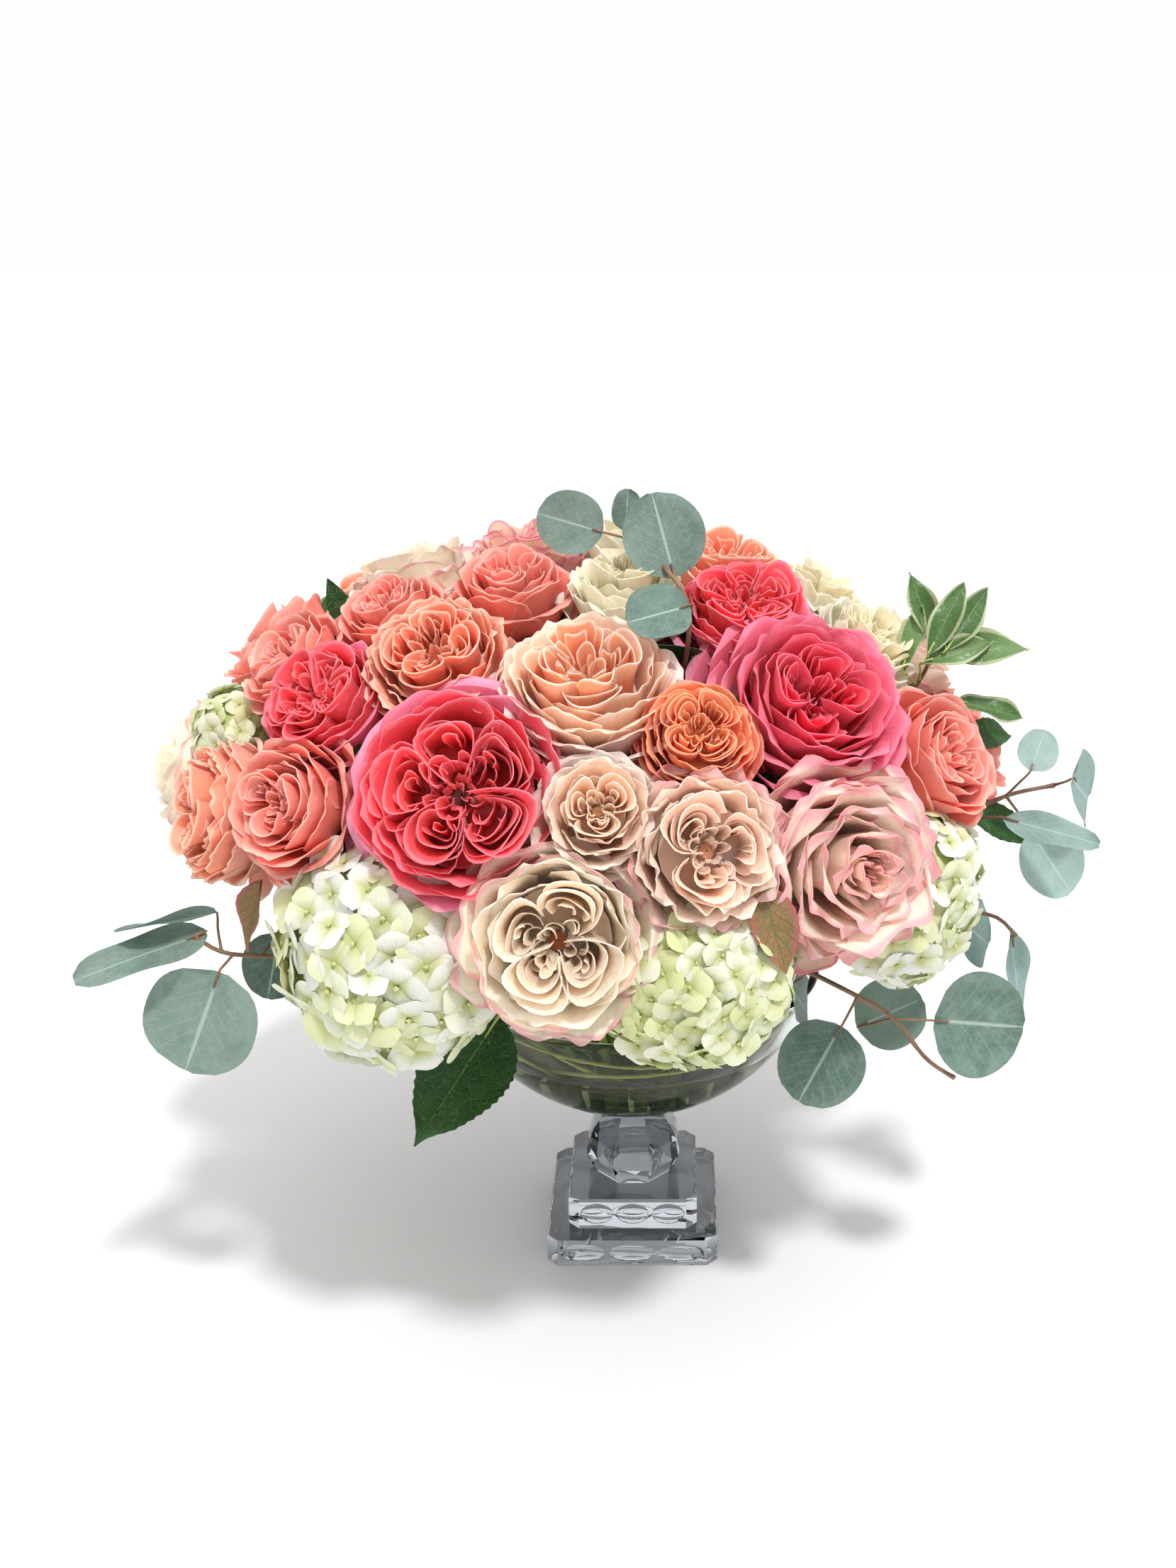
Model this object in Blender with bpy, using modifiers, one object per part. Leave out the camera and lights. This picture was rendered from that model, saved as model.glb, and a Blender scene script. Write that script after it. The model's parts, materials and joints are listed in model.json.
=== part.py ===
"""Floral table centrepiece: garden roses, hydrangeas and foliage in a footed glass bowl.

Metres, +Z up. The origin is the centre of the foot's underside and -Y is the front.
Tables are in millimetres and degrees. An azimuth is 0 at the front and grows towards +X.
"""

import math

import bmesh
import bpy
from mathutils import Vector

MM = 0.001
GAP = 0.35 * MM  # air between two neighbouring solids

# Footed bowl
FOOT_SIDE = 95 * MM
FOOT_THICK = 16 * MM
STEP_SIDE = 72 * MM
STEP_THICK = 19 * MM
CORNER_CUT = 6 * MM
PLATE_EDGE = 1.2 * MM
BELL_SIDES = 8
BOWL_BOTTOM = 83 * MM
BOWL_RADIUS = 106 * MM
BOWL_WALL = 4 * MM
RIM_HEIGHT = 165 * MM
SEAT_RADIUS = 19 * MM
BOWL_SIDES = 36
WATER_LEVEL = 135 * MM
BOWL_CENTRE = Vector((0, 0, BOWL_BOTTOM + BOWL_RADIUS))
BOWL_INSIDE = BOWL_RADIUS - BOWL_WALL

# Dome of flowers: the faces of the blooms lie on this ellipsoid
DOME_CENTRE = Vector((-22, 0, 254)) * MM
DOME_RADII = Vector((221, 205, 146)) * MM
ROSE_DEPTH = 0.62  # calyx to face, as a share of the bloom's diameter
HYDRANGEA_DEPTH = 0.80

# Each ring of stems: radius at the bowl's mouth, radius at the stem's foot
RINGS = {"low": (78, 45), "mid": (54, 30), "top": (30, 16)}
MOUTH_HEIGHT = 172 * MM
STEM_RADIUS = {"rose": 2.5 * MM, "hydrangea": 3.2 * MM, "sprig": 1.7 * MM}
STEM_SPANS = 7
PETIOLE_RADIUS = 0.9 * MM
BLADE_THICK = 1.1 * MM
TWIG_RADIUS = 1.1 * MM

# name, ring, diameter, dome azimuth, dome elevation, facing azimuth, facing elevation
ROSES = (
    ("rose_pink_front", "mid", 80, -14, 29, -4, 28),
    ("rose_cream_front", "low", 72, -1, 5, 0, 14),
    ("rose_pink_right", "mid", 80, 43, 40, 26, 46),
    ("rose_pink_behind", "top", 54, 52, 63, 5, 62),
    ("rose_peach_top", "top", 66, 3, 52, 2, 58),
    ("rose_peach_left", "top", 59, -29, 53, -14, 50),
    ("rose_coral_far_left", "mid", 54, -67, 44, -57, 44),
    ("rose_pink_left", "mid", 49, -46, 41, -36, 44),
    ("rose_coral_left", "mid", 52, -40, 22, -30, 24),
    ("rose_peach_far_left", "low", 58, -57, 15, -62, 14),
    ("rose_coral_upper_left", "top", 52, -58, 60, -40, 62),
    ("rose_coral_crown", "top", 54, -32, 73, -15, 72),
    ("rose_pink_crown", "top", 64, -118, 80, -60, 78),
    ("rose_cream_crown", "top", 52, 22, 74, 10, 76),
    ("rose_orange_middle", "mid", 50, 19, 39, 8, 44),
    ("rose_peach_crown", "top", 58, 92, 70, 40, 76),
    ("rose_ivory_crown", "top", 50, 104, 54, 80, 64),
    ("rose_ivory_right", "top", 56, 75, 47, 62, 54),
    ("rose_coral_right", "mid", 54, 63, 24, 50, 32),
    ("rose_blush_spray", "mid", 42, 4, 27, 5, 34),
    ("rose_blush_middle", "mid", 60, 18, 16, 12, 18),
    ("rose_blush_right", "low", 66, 37, 10, 26, 8),
    ("rose_coral_side_right", "low", 60, 94, 13, 94, 16),
    ("rose_peach_back_right", "low", 71, 141, 11, 139, 12),
    ("rose_pink_back_left", "low", 80, -150, 10, -152, 12),
    ("rose_cream_side_left", "low", 66, -90, 10, -90, 10),
    ("rose_blush_side_right", "mid", 58, 102, 34, 98, 42),
    ("rose_pink_back_right", "mid", 76, 131, 38, 130, 44),
    ("rose_coral_back", "mid", 70, 161, 33, 163, 40),
    ("rose_ivory_back", "mid", 76, -166, 35, -168, 42),
    ("rose_peach_back_left", "mid", 74, -130, 37, -130, 42),
    ("rose_coral_side_left", "mid", 68, -96, 39, -94, 44),
    ("rose_blush_back_crown", "top", 64, -165, 64, -165, 68),
    ("rose_cream_crown_left", "top", 62, -115, 60, -110, 66),
    ("rose_ivory_top", "top", 46, 146, 79, 140, 82),
    ("rose_coral_back_crown", "top", 70, 148, 60, 150, 68),
)
HYDRANGEAS = (
    ("hydrangea_left", "low", 97, -24, -9, -24, -8),
    ("hydrangea_front", "low", 79, 17, -13, 14, -10),
    ("hydrangea_right", "low", 78, 55, -3, 52, 0),
    ("hydrangea_far_left", "mid", 44, -75, 27, -75, 30),
    ("hydrangea_back_right", "low", 94, 118, -6, 116, -2),
    ("hydrangea_back", "low", 106, 173, -4, 173, -4),
    ("hydrangea_back_left", "low", 95, -118, -4, -119, 0),
)

# A leaf: centre, where its petiole leaves the stem, length, width, facing azimuth and elevation
# A sprig: ring, points of its stem outside the bowl, leaves, tip shape of the leaves
SPRIGS = {
    "eucalyptus_top": (
        "top",
        ((27, -72, 345), (30, -88, 374), (26, -76, 389), (6, -36, 403)),
        (
            ((-28, -22, 410), (6, -36, 403), 34, 32, -8, 16),
            ((18, -56, 410), (26, -76, 389), 41, 40, 4, 20),
            ((16, -106, 384), (30, -88, 374), 30, 30, 8, 46),
            ((0, -20, 416), (6, -36, 403), 20, 18, 30, 10),
        ),
        "round",
    ),
    "eucalyptus_left": (
        "low",
        ((-140, -84, 206), (-176, -100, 214), (-193, -106, 219), (-204, -110, 229)),
        (
            ((-201, -122, 190), (-188, -104, 217), 52, 58, -6, 12),
            ((-226, -116, 236), (-193, -106, 219), 50, 40, -150, 62),
            ((-243, -128, 219), (-204, -110, 229), 66, 26, 30, 64),
            ((-178, -74, 196), (-176, -100, 214), 34, 32, 0, 16),
        ),
        "round",
    ),
    "eucalyptus_low_right": (
        "low",
        ((90, -80, 196), (113, -95, 190), (131, -95, 178), (148, -95, 156), (163, -95, 145)),
        (
            ((94, -112, 162), (113, -95, 190), 42, 44, 0, 24),
            ((134, -66, 166), (131, -95, 178), 38, 38, 10, 28),
            ((175, -90, 172), (131, -95, 178), 46, 55, 6, 14),
            ((88, -58, 170), (90, -80, 196), 32, 26, 70, 10),
        ),
        "round",
    ),
    "eucalyptus_right": (
        "low",
        ((130, -34, 230), (168, -40, 262), (190, -44, 276), (214, -44, 282)),
        (
            ((200, -62, 306), (190, -44, 276), 21, 21, 4, 20),
            ((228, -44, 280), (214, -44, 282), 46, 40, 66, 6),
            ((214, -50, 243), (190, -44, 276), 40, 34, 10, 12),
            ((207, -72, 268), (168, -40, 262), 48, 17, -20, 46),
        ),
        "round",
    ),
    "eucalyptus_side_right": (
        "low",
        ((118, -14, 196), (160, -24, 204), (190, -28, 204), (204, -28, 192)),
        (
            ((206, -30, 170), (204, -28, 192), 46, 34, 62, 10),
            ((188, -8, 184), (160, -24, 204), 40, 38, 60, 10),
        ),
        "round",
    ),
    "eucalyptus_back_left": (
        "low",
        ((-110, 60, 190), (-150, 84, 196), (-182, 100, 200), (-206, 108, 206)),
        (
            ((-186, 124, 180), (-182, 100, 200), 48, 50, -140, 14),
            ((-222, 112, 216), (-206, 108, 206), 40, 42, -112, 26),
            ((-178, 72, 176), (-150, 84, 196), 44, 44, -100, 14),
        ),
        "round",
    ),
    "eucalyptus_back_right": (
        "low",
        ((92, 74, 190), (126, 104, 192), (150, 126, 190), (164, 140, 184)),
        (
            ((146, 146, 166), (150, 126, 190), 46, 48, 150, 12),
            ((184, 140, 182), (164, 140, 184), 44, 44, 130, 20),
            ((150, 92, 168), (126, 104, 192), 42, 42, 110, 12),
        ),
        "round",
    ),
    "pittosporum_right": (
        "mid",
        ((106, -22, 290), (140, -26, 322), (152, -28, 344)),
        (
            ((146, -30, 368), (152, -28, 344), 40, 14, 10, 20),
            ((168, -30, 364), (152, -28, 344), 44, 15, 20, 30),
            ((176, -34, 350), (152, -28, 344), 46, 18, 0, 40),
            ((182, -30, 318), (140, -26, 322), 36, 15, 20, 50),
        ),
        "long",
    ),
    "pittosporum_back_left": (
        "mid",
        ((-120, 42, 296), (-160, 58, 324), (-180, 62, 346)),
        (
            ((-178, 58, 372), (-180, 62, 346), 42, 15, -150, 20),
            ((-200, 66, 364), (-180, 62, 346), 46, 16, -120, 30),
            ((-206, 60, 348), (-180, 62, 346), 44, 16, -110, 40),
        ),
        "long",
    ),
    "hydrangea_leaf_front": (
        "low",
        ((-48, -92, 178), (-58, -108, 180), (-66, -118, 176)),
        (((-84, -134, 164), (-66, -118, 176), 62, 50, 6, 34),),
        "broad",
    ),
    "hydrangea_leaf_back": (
        "low",
        ((36, 92, 178), (44, 110, 180), (52, 122, 176)),
        (((62, 142, 162), (52, 122, 176), 60, 46, 168, 34),),
        "broad",
    ),
    "rose_leaf_left": (
        "mid",
        ((-112, -6, 306), (-136, -10, 342), (-142, -12, 356)),
        (((-146, -12, 368), (-142, -12, 356), 26, 14, 20, 14),),
        "long",
    ),
}

# Willow twigs coiled against the glass: height, radius, start azimuth, turn, rise
TWIGS = {
    "willow_twig_upper": (126, 77, 150, 250, 14),
    "willow_twig_lower": (110, 57, -60, 290, 10),
}

# Outline of half a leaf, as its half-width at a share of its length
LEAF_SHAPES = {
    "round": lambda t: math.sqrt(max(0.0, 1 - (2 * t - 1) ** 2)),
    "long": lambda t: math.sin(math.pi * t) ** 0.8,
    "broad": lambda t: math.sin(math.pi * t**0.72) ** 0.9 * (1 - 0.25 * t),
}
LEAF_STEPS = 7

COLOURS = {
    "glass": ((0.90, 0.95, 0.96), 0.02),
    "water": ((0.80, 0.88, 0.80), 0.02),
    "pink": ((0.93, 0.24, 0.36), 0.55),
    "peach": ((0.96, 0.62, 0.44), 0.55),
    "coral": ((0.95, 0.42, 0.34), 0.55),
    "orange": ((0.95, 0.48, 0.30), 0.55),
    "cream": ((0.95, 0.86, 0.68), 0.55),
    "ivory": ((0.95, 0.93, 0.80), 0.55),
    "blush": ((0.94, 0.72, 0.62), 0.55),
    "hydrangea": ((0.90, 0.94, 0.80), 0.60),
    "eucalyptus": ((0.28, 0.42, 0.36), 0.60),
    "green": ((0.14, 0.30, 0.08), 0.45),
    "willow": ((0.42, 0.44, 0.14), 0.60),
}


def clear_scene():
    for old in list(bpy.data.objects):
        bpy.data.objects.remove(old)


def new_collection(name, shown=True):
    made = bpy.data.collections.new(name)
    bpy.context.scene.collection.children.link(made)
    made.hide_render = not shown
    return made


def material(name):
    found = bpy.data.materials.get(name)
    if found:
        return found
    colour, roughness = COLOURS[name]
    made = bpy.data.materials.new(name)
    made.use_nodes = True
    shader = made.node_tree.nodes["Principled BSDF"]
    shader.inputs["Base Color"].default_value = (*colour, 1)
    shader.inputs["Roughness"].default_value = roughness
    shader.inputs["Metallic"].default_value = 0.0
    if name in ("glass", "water"):
        shader.inputs["Transmission Weight"].default_value = 1.0
    return made


def colour_of(name):
    return next((c for c in COLOURS if f"_{c}" in name or name.startswith(c)), "green")


def add_object(name, mesh, collection, colour=None):
    made = bpy.data.objects.new(name, mesh)
    collection.objects.link(made)
    mesh.materials.clear()
    mesh.materials.append(material(colour or colour_of(name)))
    return made


def as_helper(obj):
    obj.hide_render = True
    obj.display_type = "WIRE"
    return obj


def boolean(obj, operation, other):
    made = obj.modifiers.new(other.name, "BOOLEAN")
    made.operation = operation
    made.solver = "EXACT"
    if isinstance(other, bpy.types.Collection):
        made.operand_type = "COLLECTION"
        made.collection = other
    else:
        made.object = other
    return made


def direction(azimuth, elevation):
    a, e = math.radians(azimuth), math.radians(elevation)
    return Vector((math.sin(a) * math.cos(e), -math.cos(a) * math.cos(e), math.sin(e)))


def dome_point(azimuth, elevation):
    unit = direction(azimuth, elevation)
    return DOME_CENTRE + Vector(u * r for u, r in zip(unit, DOME_RADII))


def azimuth_of(point):
    return math.degrees(math.atan2(point.x, -point.y))


def turned(name, profile, sides, collection, colour=None, smooth=True):
    """A closed solid of revolution. The profile runs down its outer side, top to bottom, in metres."""
    mesh = bpy.data.meshes.new(name)
    points = [(r, 0, z) for r, z in profile]
    mesh.from_pydata(points, [(i, i + 1) for i in range(len(points) - 1)], [])
    obj = add_object(name, mesh, collection, colour)
    screw = obj.modifiers.new("Turn", "SCREW")
    screw.steps = screw.render_steps = sides
    screw.use_merge_vertices = True
    screw.merge_threshold = 0.00005
    screw.use_smooth_shade = smooth
    return obj


def tube(name, points, radius, collection, colour=None):
    """A closed round tube along points, as a mesh with its caps welded."""
    curve = bpy.data.curves.new(name, "CURVE")
    curve.dimensions = "3D"
    curve.bevel_depth = radius
    curve.bevel_resolution = 1
    curve.use_fill_caps = True
    spline = curve.splines.new("POLY")
    spline.points.add(len(points) - 1)
    for slot, point in zip(spline.points, points):
        slot.co = (*point, 1)
    guide = bpy.data.objects.new(name + "_line", curve)
    collection.objects.link(guide)
    bpy.context.view_layer.update()
    graph = bpy.context.evaluated_depsgraph_get()
    mesh = bpy.data.meshes.new_from_object(guide.evaluated_get(graph))
    bpy.data.objects.remove(guide)
    weld = bmesh.new()
    weld.from_mesh(mesh)
    bmesh.ops.remove_doubles(weld, verts=weld.verts, dist=0.00001)
    weld.to_mesh(mesh)
    weld.free()
    return add_object(name, mesh, collection, colour)


def square_plate(name, side, low, high, collection):
    """A square glass plate with its four upright corners cut off and its edges eased."""
    shape = bmesh.new()
    bmesh.ops.create_cube(shape, size=1)
    bmesh.ops.scale(shape, vec=(side, side, high - low), verts=shape.verts)
    bmesh.ops.translate(shape, vec=(0, 0, (low + high) / 2), verts=shape.verts)
    upright = [e for e in shape.edges if abs(e.verts[0].co.z - e.verts[1].co.z) > (high - low) / 2]
    bmesh.ops.bevel(shape, geom=upright, offset=CORNER_CUT, segments=1, affect="EDGES")
    mesh = bpy.data.meshes.new(name)
    shape.to_mesh(mesh)
    shape.free()
    plate = add_object(name, mesh, collection, "glass")
    ease = plate.modifiers.new("Eased edges", "BEVEL")
    ease.width = PLATE_EDGE
    ease.segments = 1
    ease.limit_method = "ANGLE"
    return plate


def make_pedestal(shown, helpers):
    """Two stacked square plates and an eight-sided bell that carries the bowl."""
    step_top = FOOT_THICK + STEP_THICK
    pedestal = square_plate("glass_pedestal", FOOT_SIDE, 0, FOOT_THICK, shown)
    step = square_plate("upper_step", STEP_SIDE, FOOT_THICK - 2 * MM, step_top, helpers)
    top = BOWL_BOTTOM - GAP
    bell_profile = (
        (0, top),
        (18 * MM, top),
        (16 * MM, top - 5 * MM),
        (17 * MM, top - 9 * MM),
        (23 * MM, top - 17 * MM),
        (28 * MM, top - 28 * MM),
        (28.5 * MM, top - 34 * MM),
        (25 * MM, top - 42 * MM),
        (21 * MM, step_top - 1 * MM),
        (0, step_top - 1 * MM),
    )
    bell = turned("bell", bell_profile, BELL_SIDES, helpers, "glass", smooth=False)
    bell.rotation_euler.z = math.pi / BELL_SIDES
    for piece in (step, bell):
        boolean(pedestal, "UNION", as_helper(piece))
    return pedestal


def sphere_radius(height, radius):
    """Radius of the bowl's sphere at a height."""
    return math.sqrt(max(0.0, radius**2 - (height - BOWL_CENTRE.z) ** 2))


def sphere_profile(radius, low, high, steps):
    """Points up the bowl's sphere, from one height to another, evenly by angle."""
    first = math.asin((low - BOWL_CENTRE.z) / radius)
    last = math.asin((high - BOWL_CENTRE.z) / radius)
    angles = [first + (last - first) * i / steps for i in range(steps + 1)]
    return [(radius * math.cos(a), BOWL_CENTRE.z + radius * math.sin(a)) for a in angles]


def make_bowl(shown):
    """A spherical bowl, open at the top, with a rounded rim and a small flat seat underneath."""
    seat_join = BOWL_CENTRE.z - math.sqrt(BOWL_RADIUS**2 - SEAT_RADIUS**2)
    outside = sphere_profile(BOWL_RADIUS, seat_join, RIM_HEIGHT, 9)
    inside = sphere_profile(BOWL_INSIDE, BOWL_CENTRE.z - BOWL_INSIDE, RIM_HEIGHT, 9)
    rim_middle = (outside[-1][0] + inside[-1][0]) / 2
    inside[0] = (0, inside[0][1])
    profile = [
        *inside,
        (rim_middle, RIM_HEIGHT + BOWL_WALL / 3),
        *reversed(outside),
        (SEAT_RADIUS - 1 * MM, BOWL_BOTTOM),
        (0, BOWL_BOTTOM),
    ]
    return turned("glass_bowl", profile, BOWL_SIDES, shown)


def make_water(shown, stem_holes):
    """The water that fills the bowl round the stems."""
    radius = BOWL_INSIDE - GAP
    side = sphere_profile(radius, BOWL_CENTRE.z - radius, WATER_LEVEL, 6)
    side[0] = (0, side[0][1])
    profile = [(0, WATER_LEVEL), *reversed(side)]
    water = turned("water", profile, BOWL_SIDES, shown)
    boolean(water, "DIFFERENCE", stem_holes)
    return water


def bezier(points, count):
    """Evenly counted points along the Bezier curve of these control points."""
    made = []
    for i in range(count + 1):
        t = i / count
        level = list(points)
        while len(level) > 1:
            level = [a.lerp(b, t) for a, b in zip(level, level[1:])]
        made.append(level[0])
    return made


def foot_point(azimuth, ring_radius, stem_radius):
    """Where a stem's cut end rests on the inside of the bowl."""
    reach = BOWL_INSIDE - stem_radius - GAP
    drop = math.sqrt(reach**2 - ring_radius**2)
    return BOWL_CENTRE + direction(azimuth, 0) * ring_radius - Vector((0, 0, drop))


def spread_round(starts):
    """Even azimuths round the bowl, one for each stem, in the order of where the stems come from."""
    order = sorted(range(len(starts)), key=lambda i: azimuth_of(starts[i]))
    step = 360 / len(order)
    shift = sum(azimuth_of(starts[i]) - k * step for k, i in enumerate(order)) / len(order)
    slots = [0.0] * len(order)
    for k, i in enumerate(order):
        slots[i] = shift + k * step
    return slots


def stem_route(start, inward, ring, azimuth, radius):
    """From a bloom or a sprig, down through the bowl's mouth to its foot."""
    mouth_radius, foot_radius = (r * MM for r in RINGS[ring])
    mouth = direction(azimuth, 0) * mouth_radius + Vector((0, 0, MOUTH_HEIGHT))
    foot = foot_point(azimuth, foot_radius, radius)
    lead = start + inward * (start - mouth).length * 0.35
    above = bezier([start, lead, mouth + (mouth - foot) * 0.35, mouth], STEM_SPANS - 2)
    below = [mouth.lerp(foot, 0.5), foot]
    return above + below


def rose_profile(diameter):
    """Outer profile of a rose, from the middle of its face down to its calyx at z = 0."""
    radius, depth = diameter / 2, diameter * ROSE_DEPTH
    shares = (
        (0, 0.92), (0.50, 0.99), (0.84, 0.97), (1.0, 0.80),
        (0.96, 0.52), (0.66, 0.20), (0.24, 0.02), (0, 0),
    )
    return [(r * radius, z * depth) for r, z in shares]


def make_rose_head(name, diameter, shown):
    return turned(name, rose_profile(diameter), 12, shown)


def make_hydrangea_head(name, diameter, shown):
    """A round, slightly bumpy head whose stem end is at z = 0."""
    shape = bmesh.new()
    bmesh.ops.create_icosphere(shape, subdivisions=3, radius=diameter / 2)
    for v in shape.verts:
        azimuth, height = math.atan2(v.co.y, v.co.x), v.co.z / diameter
        v.co *= 0.97 + 0.03 * math.sin(7 * azimuth) * math.cos(18 * height)
        v.co.z = v.co.z * HYDRANGEA_DEPTH + diameter / 2 * HYDRANGEA_DEPTH
    mesh = bpy.data.meshes.new(name)
    shape.to_mesh(mesh)
    shape.free()
    return add_object(name, mesh, shown, "hydrangea")


class Stem:
    """A stem still to be routed: what it is joined to and where it leaves it."""

    def __init__(self, owner, kind, ring, start, inward, before=()):
        self.owner = owner
        self.kind = kind
        self.ring = ring
        self.start = start
        self.inward = inward
        self.before = list(before)

    def route(self, azimuth):
        radius = STEM_RADIUS[self.kind]
        return self.before + stem_route(self.start, self.inward, self.ring, azimuth, radius)


def make_blooms(shown):
    """Every rose and hydrangea head in its place, and the stem that each still needs."""
    stems = []
    for table, kind, depth, make in (
        (ROSES, "rose", ROSE_DEPTH, make_rose_head),
        (HYDRANGEAS, "hydrangea", HYDRANGEA_DEPTH, make_hydrangea_head),
    ):
        for name, ring, diameter, azimuth, elevation, face_azimuth, face_elevation in table:
            size = diameter * MM
            facing = direction(face_azimuth, face_elevation)
            calyx = dome_point(azimuth, elevation) - facing * size * depth
            head = make(name, size, shown)
            head.location = calyx
            head.rotation_euler = facing.to_track_quat("Z", "Y").to_euler()
            inside = calyx + facing * 6 * MM
            stems.append(Stem(head, kind, ring, calyx, -facing, before=[inside]))
    return stems


def leaf_blade(name, shape, centre, along, normal, length, width, collection):
    """A thin flat blade, its long axis along one direction and its face square to normal."""
    across = normal.cross(along).normalized()
    half = LEAF_SHAPES[shape]
    steps = [i / LEAF_STEPS for i in range(1, LEAF_STEPS)]
    right = [(t, half(t)) for t in steps]
    left = [(t, -half(t)) for t in reversed(steps)]
    outline = [(0.0, 0.0), *right, (1.0, 0.0), *left]
    points = [
        centre + along * (t - 0.5) * length + across * w * width / 2 for t, w in outline
    ]
    flat = bmesh.new()
    face = flat.faces.new([flat.verts.new(p - normal * BLADE_THICK / 2) for p in points])
    flat.normal_update()
    if face.normal.dot(normal) > 0:
        face.normal_flip()
    lifted = bmesh.ops.extrude_face_region(flat, geom=[face], use_keep_orig=True)
    top = [v for v in lifted["geom"] if isinstance(v, bmesh.types.BMVert)]
    bmesh.ops.translate(flat, vec=normal * BLADE_THICK, verts=top)
    bmesh.ops.recalc_face_normals(flat, faces=flat.faces)
    mesh = bpy.data.meshes.new(name)
    flat.to_mesh(mesh)
    flat.free()
    return add_object(name, mesh, collection, "green")


def make_sprig_leaves(name, leaves, shape):
    """The leaves of a sprig with their petioles, in a helper collection that its stem is joined to."""
    pieces = new_collection(name + "_leaves", shown=False)
    for i, (centre, fork, length, width, azimuth, elevation) in enumerate(leaves):
        centre, fork = Vector(centre) * MM, Vector(fork) * MM
        length, width = length * MM, width * MM
        normal = direction(azimuth, elevation)
        along = centre - fork
        along = (along - normal * along.dot(normal)).normalized()
        blade = leaf_blade(f"{name}_blade_{i}", shape, centre, along, normal, length, width, pieces)
        as_helper(blade)
        base = centre - along * length * 0.5
        petiole = tube(
            f"{name}_petiole_{i}",
            [fork, base.lerp(fork, 0.3), base + along * length * 0.2],
            PETIOLE_RADIUS,
            pieces,
            "green",
        )
        as_helper(petiole)
    return pieces


def make_sprigs(shown):
    """The foliage: leaves that are ready to join, and the stem that each sprig still needs."""
    stems = []
    for name, (ring, points, leaves, shape) in SPRIGS.items():
        pieces = make_sprig_leaves(name, leaves, shape)
        outer = [Vector(p) * MM for p in reversed(points)]
        inward = (outer[-1] - outer[-2]).normalized()
        stems.append(Stem((name, pieces), "sprig", ring, outer[-1], inward, before=outer[:-1]))
    return stems


def plant_stems(stems, shown, helpers):
    """Routes and joins the stems ring by ring. Returns the holes that they need in the water."""
    holes = new_collection("stem_holes", shown=False)
    for ring in RINGS:
        group = [s for s in stems if s.ring == ring]
        for stem, azimuth in zip(group, spread_round([s.start for s in group])):
            route = stem.route(azimuth)
            radius = STEM_RADIUS[stem.kind]
            if stem.kind == "sprig":
                name, pieces = stem.owner
                sprig = tube(name, route, radius, shown)
                boolean(sprig, "UNION", pieces)
            else:
                name = stem.owner.name
                piece = tube(name + "_stem", route, radius, helpers, "green")
                boolean(stem.owner, "UNION", as_helper(piece))
            under = [route[-3], route[-2], route[-1] + (route[-1] - route[-2]).normalized() * 9 * MM]
            as_helper(tube(name + "_hole", under, radius + 2 * GAP, holes, "water"))
    return holes


def make_twigs(shown, holes):
    """Curly willow, coiled in the water between the stems and the glass."""
    for name, (height, radius, start, turn, rise) in TWIGS.items():
        steps = turn // 12
        points = []
        for i in range(steps + 1):
            t = i / steps
            wave = math.sin(t * math.pi * 3) * 1.5
            z = (height + rise * (t - 0.5) + wave) * MM
            out = sphere_radius(z, BOWL_INSIDE) - (TWIG_RADIUS + 1.6 * MM)
            points.append(direction(start + turn * t, 0) * out + Vector((0, 0, z)))
        tube(name, points, TWIG_RADIUS, shown)
        as_helper(tube(name + "_hole", points, TWIG_RADIUS + 2 * GAP, holes, "water"))


def main():
    clear_scene()
    shown = new_collection("floral_centrepiece")
    helpers = new_collection("helpers", shown=False)
    make_pedestal(shown, helpers)
    make_bowl(shown)
    stems = make_blooms(shown) + make_sprigs(shown)
    holes = plant_stems(stems, shown, helpers)
    make_twigs(shown, holes)
    make_water(shown, holes)


main()
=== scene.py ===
import itertools
import json
import math

import bmesh
import bpy
import numpy as np
from mathutils import Matrix, Vector

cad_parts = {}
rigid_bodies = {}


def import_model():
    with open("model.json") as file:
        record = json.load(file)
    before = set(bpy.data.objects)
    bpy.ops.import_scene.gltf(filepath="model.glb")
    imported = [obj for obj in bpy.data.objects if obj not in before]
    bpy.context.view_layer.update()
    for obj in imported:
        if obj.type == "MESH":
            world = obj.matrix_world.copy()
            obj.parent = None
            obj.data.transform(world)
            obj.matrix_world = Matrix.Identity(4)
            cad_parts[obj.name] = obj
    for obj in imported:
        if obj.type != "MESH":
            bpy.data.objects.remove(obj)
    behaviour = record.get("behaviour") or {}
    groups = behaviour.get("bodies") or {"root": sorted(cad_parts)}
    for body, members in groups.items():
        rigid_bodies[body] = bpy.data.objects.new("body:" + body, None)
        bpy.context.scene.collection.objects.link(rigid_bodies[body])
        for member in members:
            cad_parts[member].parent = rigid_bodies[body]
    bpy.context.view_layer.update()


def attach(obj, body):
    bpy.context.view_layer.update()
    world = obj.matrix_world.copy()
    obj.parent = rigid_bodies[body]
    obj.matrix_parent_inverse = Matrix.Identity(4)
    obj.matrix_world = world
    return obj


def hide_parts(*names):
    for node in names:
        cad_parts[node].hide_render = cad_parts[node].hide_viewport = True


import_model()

mm = 0.001
shape = {  # the dome the blooms sit on, and the bowl that holds them
    "domeCentre": (-22, 0, 254), "domeRadii": (221, 205, 146),
    "bowlCentre": (0, 0, 189), "bowlInside": 102, "mouthHeight": 172, "waterLevel": 135,
    "rings": {"low": (78, 45), "mid": (54, 30), "top": (30, 16)},  # mouth and foot radius of the stems
}

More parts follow.
